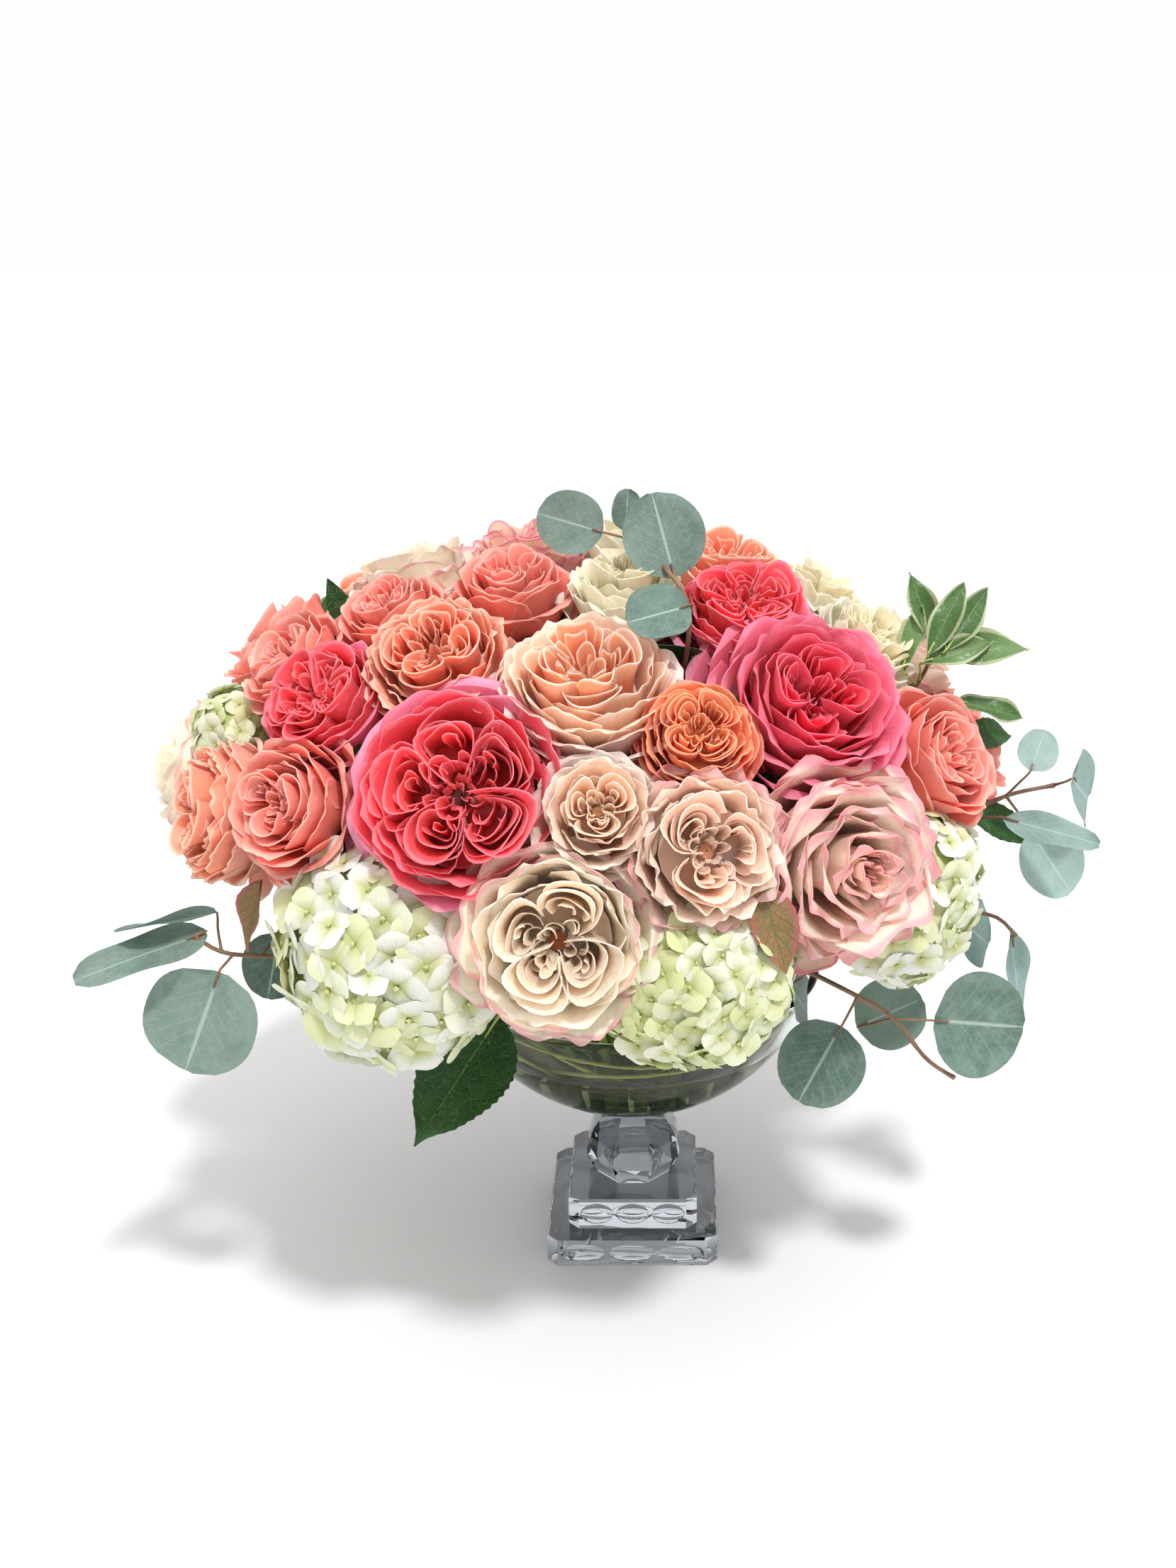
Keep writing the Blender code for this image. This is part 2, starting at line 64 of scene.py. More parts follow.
# name: ring, solid diameter, open diameter, dome azimuth and elevation, facing azimuth and elevation, recipe
blooms = {
    "rose_pink_front": ("mid", 80, 108, -14, 29, -4, 28, "pinkGarden"),
    "rose_cream_front": ("low", 72, 94, -1, 5, 0, 14, "creamFrilled"),
    "rose_pink_right": ("mid", 80, 108, 43, 42, 24, 44, "pinkPeony"),
    "rose_pink_behind": ("top", 54, 74, 52, 63, 5, 62, "pinkGarden"),
    "rose_peach_top": ("top", 66, 92, 3, 52, 2, 64, "palePeach"),
    "rose_peach_left": ("top", 59, 76, -29, 53, -14, 50, "peachFull"),
    "rose_coral_far_left": ("mid", 54, 70, -67, 44, -57, 44, "coralCup"),
    "rose_pink_left": ("mid", 49, 70, -46, 41, -36, 44, "pinkGarden"),
    "rose_coral_left": ("mid", 52, 74, -40, 22, -30, 24, "coralCup"),
    "rose_peach_far_left": ("low", 58, 74, -57, 15, -62, 14, "peachFull"),
    "rose_coral_upper_left": ("top", 52, 64, -58, 60, -40, 62, "coralCup"),
    "rose_coral_crown": ("top", 54, 70, -32, 73, -15, 72, "coralCup"),
    "rose_pink_crown": ("top", 64, 78, -118, 80, -60, 78, "roseBlushPink"),
    "rose_cream_crown": ("top", 52, 68, 22, 74, 10, 76, "ivorySpray"),
    "rose_orange_middle": ("mid", 50, 60, 19, 39, 8, 44, "orangeFull"),
    "rose_peach_crown": ("top", 58, 72, 92, 70, 40, 76, "peachFull"),
    "rose_ivory_crown": ("top", 50, 64, 104, 54, 80, 64, "ivorySpray"),
    "rose_ivory_right": ("top", 56, 68, 75, 47, 62, 54, "ivorySpray"),
    "rose_coral_right": ("mid", 54, 84, 63, 24, 50, 32, "coralCup"),
    "rose_blush_spray": ("mid", 42, 58, 4, 27, 5, 34, "blushSpray"),
    "rose_blush_middle": ("mid", 60, 80, 17, 19, 12, 20, "blushTwin"),
    "rose_blush_right": ("low", 66, 96, 37, 11, 26, 10, "blushRuffled"),
    "rose_coral_side_right": ("low", 60, 78, 94, 13, 94, 16, "coralCup"),
    "rose_peach_back_right": ("low", 71, 92, 141, 11, 139, 12, "palePeach"),
    "rose_pink_back_left": ("low", 80, 104, -150, 10, -152, 12, "pinkGarden"),
    "rose_cream_side_left": ("low", 66, 86, -90, 10, -90, 10, "creamFrilled"),
    "rose_blush_side_right": ("mid", 58, 78, 102, 34, 98, 42, "blushFrilled"),
    "rose_pink_back_right": ("mid", 76, 98, 131, 38, 130, 44, "pinkGarden"),
    "rose_coral_back": ("mid", 70, 92, 161, 33, 163, 40, "coralCup"),
    "rose_ivory_back": ("mid", 76, 94, -166, 35, -168, 42, "ivorySpray"),
    "rose_peach_back_left": ("mid", 74, 96, -130, 37, -130, 42, "peachFull"),
    "rose_coral_side_left": ("mid", 68, 90, -96, 39, -94, 44, "coralCup"),
    "rose_blush_back_crown": ("top", 64, 86, -165, 64, -165, 68, "blushFrilled"),
    "rose_cream_crown_left": ("top", 62, 84, -115, 60, -110, 66, "creamFrilled"),
    "rose_ivory_top": ("top", 46, 64, 146, 79, 140, 82, "ivorySpray"),
    "rose_coral_back_crown": ("top", 70, 90, 148, 60, 150, 68, "coralCup"),
    "hydrangea_left": ("low", 97, 114, -29, -9, -28, -8, "hydrangea"),
    "hydrangea_front": ("low", 79, 92, 17, -11, 14, -10, "hydrangea"),
    "hydrangea_right": ("low", 78, 90, 55, -3, 52, 0, "hydrangea"),
    "hydrangea_far_left": ("mid", 44, 52, -75, 27, -75, 30, "hydrangea"),
    "hydrangea_back_right": ("low", 94, 104, 118, -6, 116, -2, "hydrangea"),
    "hydrangea_back": ("low", 106, 114, 173, -4, 173, -4, "hydrangea"),
    "hydrangea_back_left": ("low", 95, 104, -118, -4, -119, 0, "hydrangea"),
}
bloomDepth = {  # how far behind the dome a part of the bloom lies, in shares of its diameter
    "rose": {"solid": 0.62, "stem": 0.60, "heart": 0.60},
    "hydrangea": {"solid": 0.80, "stem": 0.72, "heart": 0.42},
}


def direction(azimuth, elevation):
    a, e = math.radians(azimuth), math.radians(elevation)
    return Vector((math.sin(a) * math.cos(e), -math.cos(a) * math.cos(e), math.sin(e)))


def behindBloom(name, part):
    # where a part of the bloom lies on its axis, and the way the bloom faces
    solid, size, azimuth, elevation, faceAzimuth, faceElevation = blooms[name][1:7]
    facing = direction(faceAzimuth, faceElevation)
    unit = direction(azimuth, elevation)
    spot = Vector(c + u * r for c, u, r in zip(shape["domeCentre"], unit, shape["domeRadii"])) * mm
    width = solid if part == "solid" else size
    return spot - facing * width * mm * bloomDepth[name.split("_")[0]][part], facing


def turnedTo(facing):
    return facing.to_track_quat("Z", "Y").to_matrix()


def smooth(x, low, high):
    t = np.clip((x - low) / (high - low), 0, 1)
    return t * t * (3 - 2 * t)


def sheetGrid(rows, cols, low=0.0, high=1.0):
    # how far up a sheet, and how far across it from -1 to 1
    return np.meshgrid(np.linspace(low, high, rows), np.linspace(-1, 1, cols), indexing="ij")


def named(fields, rows):
    # a table whose columns have names
    return {kind: dict(zip(fields.split(), row)) for kind, row in rows.items()}


def addObject(name, mesh, material=None, sharp=None):
    # smooth shading, with edges over the sharp angle kept, in degrees
    if material:
        mesh.materials.append(material)
    if sharp:
        mesh.shade_smooth()
        mesh.set_sharp_from_angle(angle=math.radians(sharp))
    made = bpy.data.objects.new(name, mesh)
    bpy.context.scene.collection.objects.link(made)
    return made


def setAttribute(mesh, label, values):
    mesh.attributes.new(label, "FLOAT", "POINT").data.foreach_set("value", values)


def finishPiece(piece, slot, *nodes):
    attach(piece, "root")
    if nodes:
        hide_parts(*nodes)


class SheetPile:
    # gathers thin closed sheets, each with its own UV patch and attributes, into one mesh

    def __init__(self):
        self.points, self.faces, self.uv, self.ring, self.shade, self.count = [], [], [], [], [], 0

    def add(self, grid, thick, ring, shade):
        rows, cols = grid.shape[:2]
        normal = np.cross(np.gradient(grid, axis=1), np.gradient(grid, axis=0))
        normal /= np.maximum(np.linalg.norm(normal, axis=2, keepdims=True), 1e-9)
        v, u = np.meshgrid(np.linspace(0, 1, rows), np.linspace(0, 1, cols), indexing="ij")
        # thinner towards its sides
        half = (thick / 2) * (0.55 + 0.45 * np.sin(np.pi * np.clip(u, 0.02, 0.98)))[..., None]
        self.points += [(grid + normal * half).reshape(-1, 3), (grid - normal * half).reshape(-1, 3)]
        self.uv += [np.stack([u, v], axis=2).reshape(-1, 2)] * 2
        self.ring += [np.broadcast_to(ring, (rows, cols)).reshape(-1)] * 2
        self.shade.append(np.full(rows * cols * 2, shade))
        front = np.arange(rows * cols).reshape(rows, cols) + self.count
        for side, step in ((front, 1), (front + rows * cols, -1)):
            corners = [side[:-1, :-1], side[:-1, 1:], side[1:, 1:], side[1:, :-1]][::step]
            self.faces.append(np.stack(corners, axis=2).reshape(-1, 4))
        rim = np.concatenate([front[0, :-1], front[:-1, -1], front[-1, :0:-1], front[:0:-1, 0]])
        after = np.roll(rim, -1)
        self.faces.append(np.stack([rim, rim + rows * cols, after + rows * cols, after], axis=1))
        self.count += rows * cols * 2

    def object(self, name, material, matrix=Matrix.Identity(4)):
        mesh = bpy.data.meshes.new(name)
        mesh.from_pydata(np.concatenate(self.points).tolist(), [], np.concatenate(self.faces).tolist())
        loops = np.empty(len(mesh.loops), np.int32)
        mesh.loops.foreach_get("vertex_index", loops)
        uv = np.concatenate(self.uv)[loops].astype(np.float32)
        mesh.uv_layers.new(name="petalUv").data.foreach_set("uv", uv.reshape(-1))
        for label, values in (("ring", self.ring), ("shade", self.shade)):
            setAttribute(mesh, label, np.concatenate(values).astype(np.float32))
        mesh.transform(matrix)
        return addObject(name, mesh, material, 60)


petalForm = {"rows": 7, "cols": 17, "innerRows": 5, "innerCols": 19, "thickness": 0.5 * mm, "depth": 0.62,
             "pinwheel": 0.03, "opening": 2.3}  # opening is how far round a fold's lip runs, in radians


def ripple(rng, s, slow, fast, wave=np.sin):
    return wave(s * rng.uniform(slow, fast) + rng.uniform(0, 6.3))


def cubic(t, start, first, second, end):
    k = 1 - t
    return k**3 * start + 3 * k * k * t * first + 3 * k * t * t * second + t**3 * end


def cupPetal(rng, r, turn, spread, base, lean, tip, curl, frill, rows, cols, blunt=0.16):
    # a broad petal that starts at base (radius, height), leans through lean and ends at tip
    v, s = sheetGrid(rows, cols)
    reach = v * (1 - blunt * np.abs(s) ** 2.4 * v - 0.05 * rng.random() * (1 - np.abs(s)) ** 4 * v)
    radius = cubic(reach, base[0], lean[0], lean[0] * 0.5 + tip[0] * 0.55, tip[0])
    height = cubic(reach, base[1], lean[1], tip[1] * 0.86 + lean[1] * 0.14, tip[1])
    roll = smooth(reach, 0.62, 1.05)
    radius = radius + curl * roll
    height = height - abs(curl) * 0.9 * roll**3
    side = np.abs(s) ** 3.5 * smooth(v, 0.2, 0.9)
    radius = radius + side * curl * 0.25 + petalForm["pinwheel"] * s * v
    wave = ripple(rng, s, 2.5, 4.5) + 0.35 * ripple(rng, s, 6, 9)
    radius = radius + frill * wave * smooth(v, 0.35, 1.0)
    height = height + frill * 0.8 * ripple(rng, s, 4, 8, np.cos) * smooth(v, 0.5, 1.0)
    width = spread * (0.34 + 0.66 * np.sin(np.minimum(v * 1.4, 1) * math.pi / 2))
    width = width * (1 - 0.55 * np.clip((v - 0.45) / 0.55, 0, 1) ** 3)
    angle = turn + s * width
    lift = rng.uniform(-0.05, 0.05) * v * v
    return np.stack([radius * np.cos(angle), radius * np.sin(angle), height + lift], axis=2) * r


def foldPetal(rng, r, turn, away, size, wedge, top, depth, frill, rows, cols):
    # a folded inner petal: its lip is a horseshoe round a point off the flower's axis, inside its own quarter
    v, s = sheetGrid(rows, cols)
    angle = s * petalForm["opening"] * rng.uniform(0.80, 1.12) + rng.uniform(-0.42, 0.42)
    lean = v**1.8
    flare = 0.64 + 0.36 * lean
    ruffle = 1 + frill * lean * (ripple(rng, s, 3, 5) + 0.5 * ripple(rng, s, 7, 10))
    x = away + size[1] * np.cos(angle) * flare * ruffle
    y = size[0] * np.sin(angle) * flare * ruffle
    limit = np.maximum(x, 0.03) * wedge
    y = limit * np.tanh(y / limit)
    tilt = rng.uniform(-0.15, 0.15)
    edge = top(np.sqrt(x * x + y * y)) + 0.10 * rng.uniform(-1, 1) + 0.04 * ripple(rng, s, 3, 6)
    height = edge - depth * (1 - v) ** 1.35 - 0.08 * smooth(np.abs(s), 0.6, 1.0)
    ca, sa = math.cos(turn + tilt), math.sin(turn + tilt)
    return (np.stack([x * ca - y * sa, x * sa + y * ca, height], axis=2) * r)[:, ::-1]


# What sets each kind of rose apart. Lengths are shares of the bloom's radius.
# wraps: tip radius, petals, height. guards: tip radius, petals, height, curl.
roseKinds = named("quarters nest eye face dish inner frill drop wraps guards", {
    "pinkGarden": (5, 6, 0.04, 0.86, 0.08, 0.13, 0.02, 1, ((0.68, 8, 0.91), (0.76, 7, 0.87)),
                   ((0.87, 5, 0.78, 0.13), (0.97, 5, 0.60, 0.20), (1.04, 4, 0.40, 0.20))),
    "pinkPeony": (4, 5, 0.05, 0.86, 0.12, 0.12, 0.026, 3, ((0.46, 5, 1.0), (0.56, 5, 1.03)),
                  ((0.68, 5, 1.0, 0.10), (0.80, 5, 0.94, 0.15), (0.92, 5, 0.76, 0.20),
                   (1.02, 5, 0.52, 0.20))),
    "peachFull": (4, 6, 0.06, 0.86, 0.12, 0.06, 0.026, 1, ((0.62, 8, 0.94), (0.70, 9, 0.92), (0.79, 9, 0.85)),
                  ((0.88, 7, 0.72, 0.08), (0.98, 6, 0.52, 0.12))),
    "palePeach": (4, 4, 0.08, 0.80, 0.18, 0.05, 0.022, 2, ((0.56, 7, 0.92), (0.65, 8, 0.94), (0.75, 8, 0.90)),
                  ((0.86, 7, 0.80, 0.12), (0.96, 6, 0.66, 0.16), (1.0, 5, 0.46, 0.12))),
    "coralCup": (3, 4, 0.05, 0.86, 0.12, 0.05, 0.016, 1, ((0.46, 5, 0.98), (0.58, 5, 1.0)),
                 ((0.72, 5, 0.94, 0.12), (0.86, 5, 0.76, 0.17), (0.98, 5, 0.52, 0.18))),
    "orangeFull": (4, 5, 0.06, 0.88, 0.12, 0.05, 0.02, 2, ((0.60, 8, 0.96), (0.71, 8, 0.91)),
                   ((0.82, 6, 0.80, 0.09), (0.93, 5, 0.62, 0.13), (1.0, 5, 0.44, 0.12))),
    "creamFrilled": (4, 4, 0.06, 0.84, 0.14, 0.10, 0.036, 1, ((0.57, 6, 0.92), (0.67, 6, 0.95)),
                     ((0.74, 5, 0.92, 0.12), (0.88, 6, 0.76, 0.17), (0.99, 6, 0.54, 0.16))),
    "blushFrilled": (4, 5, 0.06, 0.86, 0.12, 0.08, 0.04, 1, ((0.60, 7, 0.94), (0.72, 8, 0.88)),
                     ((0.84, 7, 0.76, 0.13), (0.96, 7, 0.56, 0.15))),
    "blushSpray": (3, 3, 0.07, 0.88, 0.14, 0.07, 0.03, 0, ((0.48, 6, 0.96), (0.64, 6, 0.94)),
                   ((0.80, 6, 0.80, 0.14), (0.96, 5, 0.56, 0.16))),
    "ivorySpray": (4, 4, 0.06, 0.88, 0.12, 0.07, 0.034, 0, ((0.54, 7, 0.96), (0.66, 7, 0.93)),
                   ((0.80, 7, 0.82, 0.12), (0.95, 6, 0.58, 0.15))),
})
roseKinds["pinkPeony"]["dropReach"] = 1.2
roseKinds["roseBlushPink"] = dict(roseKinds["blushFrilled"], frill=0.03)
roseKinds["blushTwin"] = dict(roseKinds["blushFrilled"], quarters=3, nest=5, inner=0.12, frill=0.05)
roseKinds["blushRuffled"] = dict(
    roseKinds["blushFrilled"], quarters=3, nest=3, face=0.98, dish=0.04, frill=0.065, curls=3,
    wraps=((0.22, 2, 1.04), (0.31, 3, 1.03), (0.41, 3, 1.01), (0.52, 4, 0.98), (0.63, 4, 0.93),
           (0.74, 5, 0.87)),
    guards=((0.84, 4, 0.76, 0.13), (0.97, 5, 0.56, 0.15)))


def around(rng, count, jitter):
    # the turns of petals that stand evenly round the bloom
    start = rng.uniform(0, 6.3)
    for i in range(count):
        yield start + 2 * math.pi * (i + rng.uniform(-jitter, jitter)) / count


def makeRose(name, kind, diameter, matrix, material, seed):
    # petals from the outside in: guards, wraps, then the folded quarters round the eye
    rng = np.random.default_rng(seed)
    look = roseKinds[kind]
    guards, wraps, frill, face = (look[part] for part in ("guards", "wraps", "frill", "face"))
    rows, cols = petalForm["rows"], petalForm["cols"]
    r = diameter / 2 * mm
    tall = petalForm["depth"] * 2  # height of the bloom in radii
    pile = SheetPile()

    def lay(ring, grid):
        pile.add(grid, petalForm["thickness"], ring, rng.random())

    def top(distance):
        return tall * (face + look["dish"] * np.sin(np.clip(distance / 0.6, 0, 1) * math.pi * 0.55))

    for ring, (tip, count, rise, curl) in enumerate(guards):
        for turn in around(rng, count, 0.12):
            reach = tip * rng.uniform(0.95, 1.03)
            spread = 1.42 * math.pi / count * rng.uniform(0.95, 1.1)
            lay(0.80 + 0.2 * ring / max(1, len(guards) - 1), cupPetal(
                rng, r, turn, spread, (0.03, 0.02 * tall), (reach * 0.92, 0.12 * tall),
                (reach - curl * 0.8, rise * tall), curl, frill, rows, cols))
    for ring, (tip, count, rise) in enumerate(wraps):
        for turn in around(rng, count, 0.15):
            reach = tip * rng.uniform(0.96, 1.04)
            spread = 1.5 * math.pi / count * rng.uniform(0.9, 1.15)
            lay(0.42 + 0.3 * ring / len(wraps), cupPetal(
                rng, r, turn, spread, (0.03, 0.10 * tall), (reach * 0.98, 0.26 * tall),
                (reach - 0.03, rise * tall * rng.uniform(0.94, 1.04)), 0.06 + 0.02 * ring, frill * 0.9,
                rows - 1, cols, blunt=0.10))
    for width, deep, ring in ((wraps[0][0] * 0.85, 0.23, 0.12), (0.085, 0.15, 0.0)):  # floor, then the dark eye disc, painted shade in the hollow centre
        angle, out = np.meshgrid(np.linspace(0, 2 * math.pi, 19), np.linspace(0.01, width, 4), indexing="ij")
        disc = np.stack([out * np.cos(angle), out * np.sin(angle), 0 * out + tall * (face - deep)], axis=2)
        pile.add(disc * r, petalForm["thickness"], ring, 0.5)
    quarters, nest = look["quarters"], look["nest"]
    start = rng.uniform(0, 6.3)
    reach = wraps[0][0] * 0.98
    wedge = math.tan(math.pi / quarters) * 1.12
    for q in range(quarters):
        turn = start + 2 * math.pi * (q + rng.uniform(-0.08, 0.08)) / quarters
        middle = reach * 0.54 * rng.uniform(0.85, 1.1)
        folds = nest + int(rng.integers(-1, 2))
        for k in range(folds):
            share = (k + 0.7) / (folds - 0.3)
            wide = reach * 0.75 * share * rng.uniform(0.8, 1.1)
            long = (reach - middle) * 1.05 * share * rng.uniform(0.92, 1.06)
            lay(0.10 + 0.26 * share, foldPetal(
                rng, r, turn, middle * rng.uniform(0.86, 1.10), (wide, long), wedge, top, 0.42 * tall,
                look["inner"], petalForm["innerRows"], petalForm["innerCols"]))
    for i in range(quarters * 3):  # short folds that fill in between the quarters
        turn = start + math.pi * (2 * i / 3 + rng.uniform(-0.3, 0.3)) / quarters
        away = reach * rng.uniform(0.16, 0.46)
        size = (reach * rng.uniform(0.10, 0.2), reach * rng.uniform(0.10, 0.2))
        grid = foldPetal(rng, r, turn, away, size, 1.6, lambda d: top(d) - 0.05, 0.34 * tall, look["inner"],
                         petalForm["innerRows"], 11)
        lay(0.12 + 0.2 * rng.random(), grid)
    for i in range(look.get("curls", 7)):  # small curled petals round the eye
        turn = start + i * 2.4 + rng.uniform(-0.3, 0.3)
        out = look["eye"] * (0.7 + 0.34 * i)
        tip = (out, tall * (face - 0.12 + 0.014 * i + rng.uniform(-0.03, 0.03)))
        lay(0.04, cupPetal(rng, r, turn, 0.9, (0.01, 0.40 * tall), (out * 0.9, 0.5 * tall), tip, 0.05, 0.015,
                           5, 9))
    for i in range(look["drop"]):  # a reflexed petal or two under the bloom
        turn = -math.pi / 2 + (i - (look["drop"] - 1) / 2) * 1.1 * rng.uniform(0.8, 1.2)
        tip = (look.get("dropReach", 1.04), 0.20 * tall)
        lay(1.0, cupPetal(rng, r, turn, 0.62, (0.10, 0.04 * tall), (0.86, 0.03 * tall), tip, 0.06, frill,
                          rows, cols, blunt=0.22))
    return pile.object(name, material, matrix)


def feed(tree, socket, value):
    # a socket is linked, and a number or colour is set
    if isinstance(value, bpy.types.NodeSocket):
        tree.links.new(value, socket)
    else:
        socket.default_value = (*value, 1) if socket.type == "RGBA" else value


def addNode(tree, kind, inputs=None, **settings):
    node = tree.nodes.new(kind)
    for label, value in settings.items():
        setattr(node, label, value)
    for label, value in (inputs or {}).items():
        if isinstance(label, str):
            feed(tree, next(s for s in node.inputs if s.name == label and s.enabled), value)
        else:
            feed(tree, node.inputs[label], value)
    return node


def wire(tree, kind, inputs=None, **settings):
    # the first output in use of a new node
    return next(s for s in addNode(tree, kind, inputs, **settings).outputs if s.enabled)


def mathNode(tree, operation, *values):
    return wire(tree, "ShaderNodeMath", dict(enumerate(values)), operation=operation)


def weigh(tree, total, *parts):
    # a total, to which each socket is added times its weight
    for socket, weight in parts:
        total = mathNode(tree, "MULTIPLY_ADD", socket, weight, total)
    return total


def rangeNode(tree, value, low, high, outLow=0.0, outHigh=1.0, style="SMOOTHSTEP"):
    limits = {"From Min": low, "From Max": high, "To Min": outLow, "To Max": outHigh}
    return wire(tree, "ShaderNodeMapRange", {"Value": value, **limits}, interpolation_type=style)


def mixNode(tree, factor, first, second):
    return addNode(tree, "ShaderNodeMix", {0: factor, 6: first, 7: second}, data_type="RGBA").outputs[2]


def attributeNode(tree, label):
    return addNode(tree, "ShaderNodeAttribute", attribute_name=label).outputs["Fac"]


def noiseNode(tree, vector, scale, detail=3.0, roughness=0.55):
    return wire(tree, "ShaderNodeTexNoise", {
        "Scale": scale, "Detail": detail, "Roughness": roughness, "Vector": vector})


def objectPoint(tree):
    return addNode(tree, "ShaderNodeTexCoord").outputs["Object"]


def acrossAndUp(tree):
    uv = wire(tree, "ShaderNodeUVMap", uv_map="petalUv")
    return addNode(tree, "ShaderNodeSeparateXYZ", {0: uv}).outputs[:2]


def newGroup(name, **inputs):
    group = bpy.data.node_groups.new(name, "ShaderNodeTree")
    for label, value in inputs.items():
        group.interface.new_socket(label, in_out="INPUT", socket_type="NodeSocketFloat").default_value = value
    return group, addNode(group, "NodeGroupInput").outputs


def closeGroup(group, **results):
    for label in results:
        group.interface.new_socket(label, in_out="OUTPUT", socket_type="NodeSocketFloat")
    addNode(group, "NodeGroupOutput", results)
    return group


def makePetalGroup():
    # streaks that run up a petal, cloudy patches, and a mask for its rim
    group, given = newGroup("petalGrain", Streaks=1.0)
    across, up = acrossAndUp(group)
    centred = mathNode(group, "SUBTRACT", across, 0.5)
    stretches = ((centred, 46.0), (up, 3.0), (attributeNode(group, "shade"), 37.0))
    place = wire(group, "ShaderNodeCombineXYZ",
                 {i: mathNode(group, "MULTIPLY", value, scale) for i, (value, scale) in enumerate(stretches)})
    streak = mathNode(group, "SUBTRACT", noiseNode(group, place, 1.0, 3.0, 0.6), 0.5)
    cloud = noiseNode(group, objectPoint(group), 90.0, 3.0, 0.6)
    sideRim = rangeNode(group, mathNode(group, "ABSOLUTE", centred), 0.40, 0.50)
    rim = mathNode(group, "MAXIMUM", sideRim, rangeNode(group, up, 0.80, 1.0))
    rim = weigh(group, rim, (mathNode(group, "SUBTRACT", cloud, 0.5), 0.5))
    return closeGroup(group, Streak=mathNode(group, "MULTIPLY", streak, given["Streaks"]), Cloud=cloud,
                      Rim=rangeNode(group, rim, 0.25, 0.95), Up=up)


# Colours run from the heart of the bloom to its outer petals, with the rim and the base of a petal apart. The
# eye colour is painted shade in the bloom's hollow centre
# base is partly the petal's own deeper colour and partly painted shade of the deep crevices
petalLooks = named("heart body outer rim innerRim base eye rimShare crease", {
    "pinkGarden": ((0.96, 0.15, 0.16), (0.96, 0.20, 0.27), (0.95, 0.42, 0.58), (0.96, 0.54, 0.70),
                   (0.97, 0.43, 0.50), (0.92, 0.08, 0.09), (0.14, 0.03, 0.02), 0.7, 0.0),
    "pinkPeony": ((0.94, 0.12, 0.19), (0.94, 0.21, 0.32), (0.94, 0.29, 0.42), (0.95, 0.46, 0.62),
                  (0.96, 0.37, 0.48), (0.92, 0.10, 0.18), (0.30, 0.02, 0.03), 0.5, 0.0),
    "peachFull": ((0.97, 0.43, 0.27), (0.98, 0.57, 0.42), (0.98, 0.65, 0.52), (0.99, 0.89, 0.79),
                  (0.99, 0.85, 0.73), (0.96, 0.34, 0.20), (0.55, 0.12, 0.05), 0.7, 0.0),
    "palePeach": ((0.97, 0.56, 0.33), (0.98, 0.79, 0.65), (0.98, 0.85, 0.81), (0.99, 0.95, 0.92),
                  (0.98, 0.91, 0.83), (0.97, 0.50, 0.34), (0.70, 0.22, 0.08), 0.85, 0.0),
    "coralCup": ((0.97, 0.47, 0.39), (0.97, 0.50, 0.42), (0.95, 0.41, 0.33), (0.98, 0.74, 0.66),
                 (0.99, 0.80, 0.73), (0.94, 0.26, 0.18), (0.60, 0.10, 0.05), 0.55, 0.0),
    "orangeFull": ((0.97, 0.48, 0.24), (0.97, 0.45, 0.25), (0.94, 0.30, 0.20), (0.98, 0.70, 0.50),
                   (0.98, 0.70, 0.48), (0.95, 0.28, 0.14), (0.60, 0.12, 0.04), 0.6, 0.0),
    "creamFrilled": ((0.98, 0.86, 0.73), (0.98, 0.92, 0.81), (0.98, 0.93, 0.82), (0.86, 0.34, 0.44),
                     (0.98, 0.95, 0.88), (0.97, 0.82, 0.66), (0.45, 0.16, 0.06), 0.55, 0.35),
    "blushFrilled": ((0.97, 0.79, 0.66), (0.97, 0.84, 0.75), (0.96, 0.78, 0.72), (0.88, 0.26, 0.42),
                     (0.98, 0.90, 0.84), (0.97, 0.74, 0.60), (0.70, 0.34, 0.20), 0.7, 0.08),
    "blushSpray": ((0.96, 0.76, 0.58), (0.97, 0.83, 0.71), (0.97, 0.89, 0.82), (0.98, 0.95, 0.91),
                   (0.98, 0.90, 0.80), (0.95, 0.62, 0.42), (0.60, 0.30, 0.12), 0.7, 0.05),
    "ivorySpray": ((0.96, 0.90, 0.70), (0.97, 0.95, 0.84), (0.97, 0.95, 0.86), (0.97, 0.96, 0.88),
                   (0.97, 0.95, 0.85), (0.94, 0.86, 0.58), (0.60, 0.46, 0.16), 0.5, 0.1),
})
for kind, changes in {
        "roseBlushPink": {"innerRim": (0.90, 0.36, 0.48), "outer": (0.93, 0.62, 0.62)},
        "blushTwin": {"rim": (0.94, 0.48, 0.56), "rimShare": 0.6},
        "blushRuffled": {"body": (0.98, 0.86, 0.77), "innerRim": (0.92, 0.42, 0.50),
                         "outer": (0.98, 0.82, 0.74), "rimShare": 0.6}}.items():
    petalLooks[kind] = {**petalLooks["blushFrilled"], **changes}
creaseBrown = (0.50, 0.28, 0.12)


def newMaterial(name):
    made = bpy.data.materials.new(name)
    made.use_nodes = True
    return made, made.node_tree


def mixShaders(tree, share, second):
    # the Principled shader with a share of a second one
    first = tree.nodes["Principled BSDF"].outputs[0]
    mix = wire(tree, "ShaderNodeMixShader", {0: share, 1: first, 2: second})
    tree.links.new(mix, tree.nodes["Material Output"].inputs["Surface"])


def finishMaterial(made, inputs, bump=None, glow=0):
    # bump is its height, strength and distance in metres, and glow the light that soaks through thin tissue
    tree = made.node_tree
    shader = tree.nodes["Principled BSDF"]
    for label, value in inputs.items():
        feed(tree, shader.inputs[label], value)
    if bump:
        normal = wire(tree, "ShaderNodeBump", dict(zip(("Height", "Strength", "Distance"), bump)))
        tree.links.new(normal, shader.inputs["Normal"])
    if glow:
        mixShaders(tree, glow, wire(tree, "ShaderNodeBsdfTranslucent", {"Color": inputs["Base Color"]}))
    return made


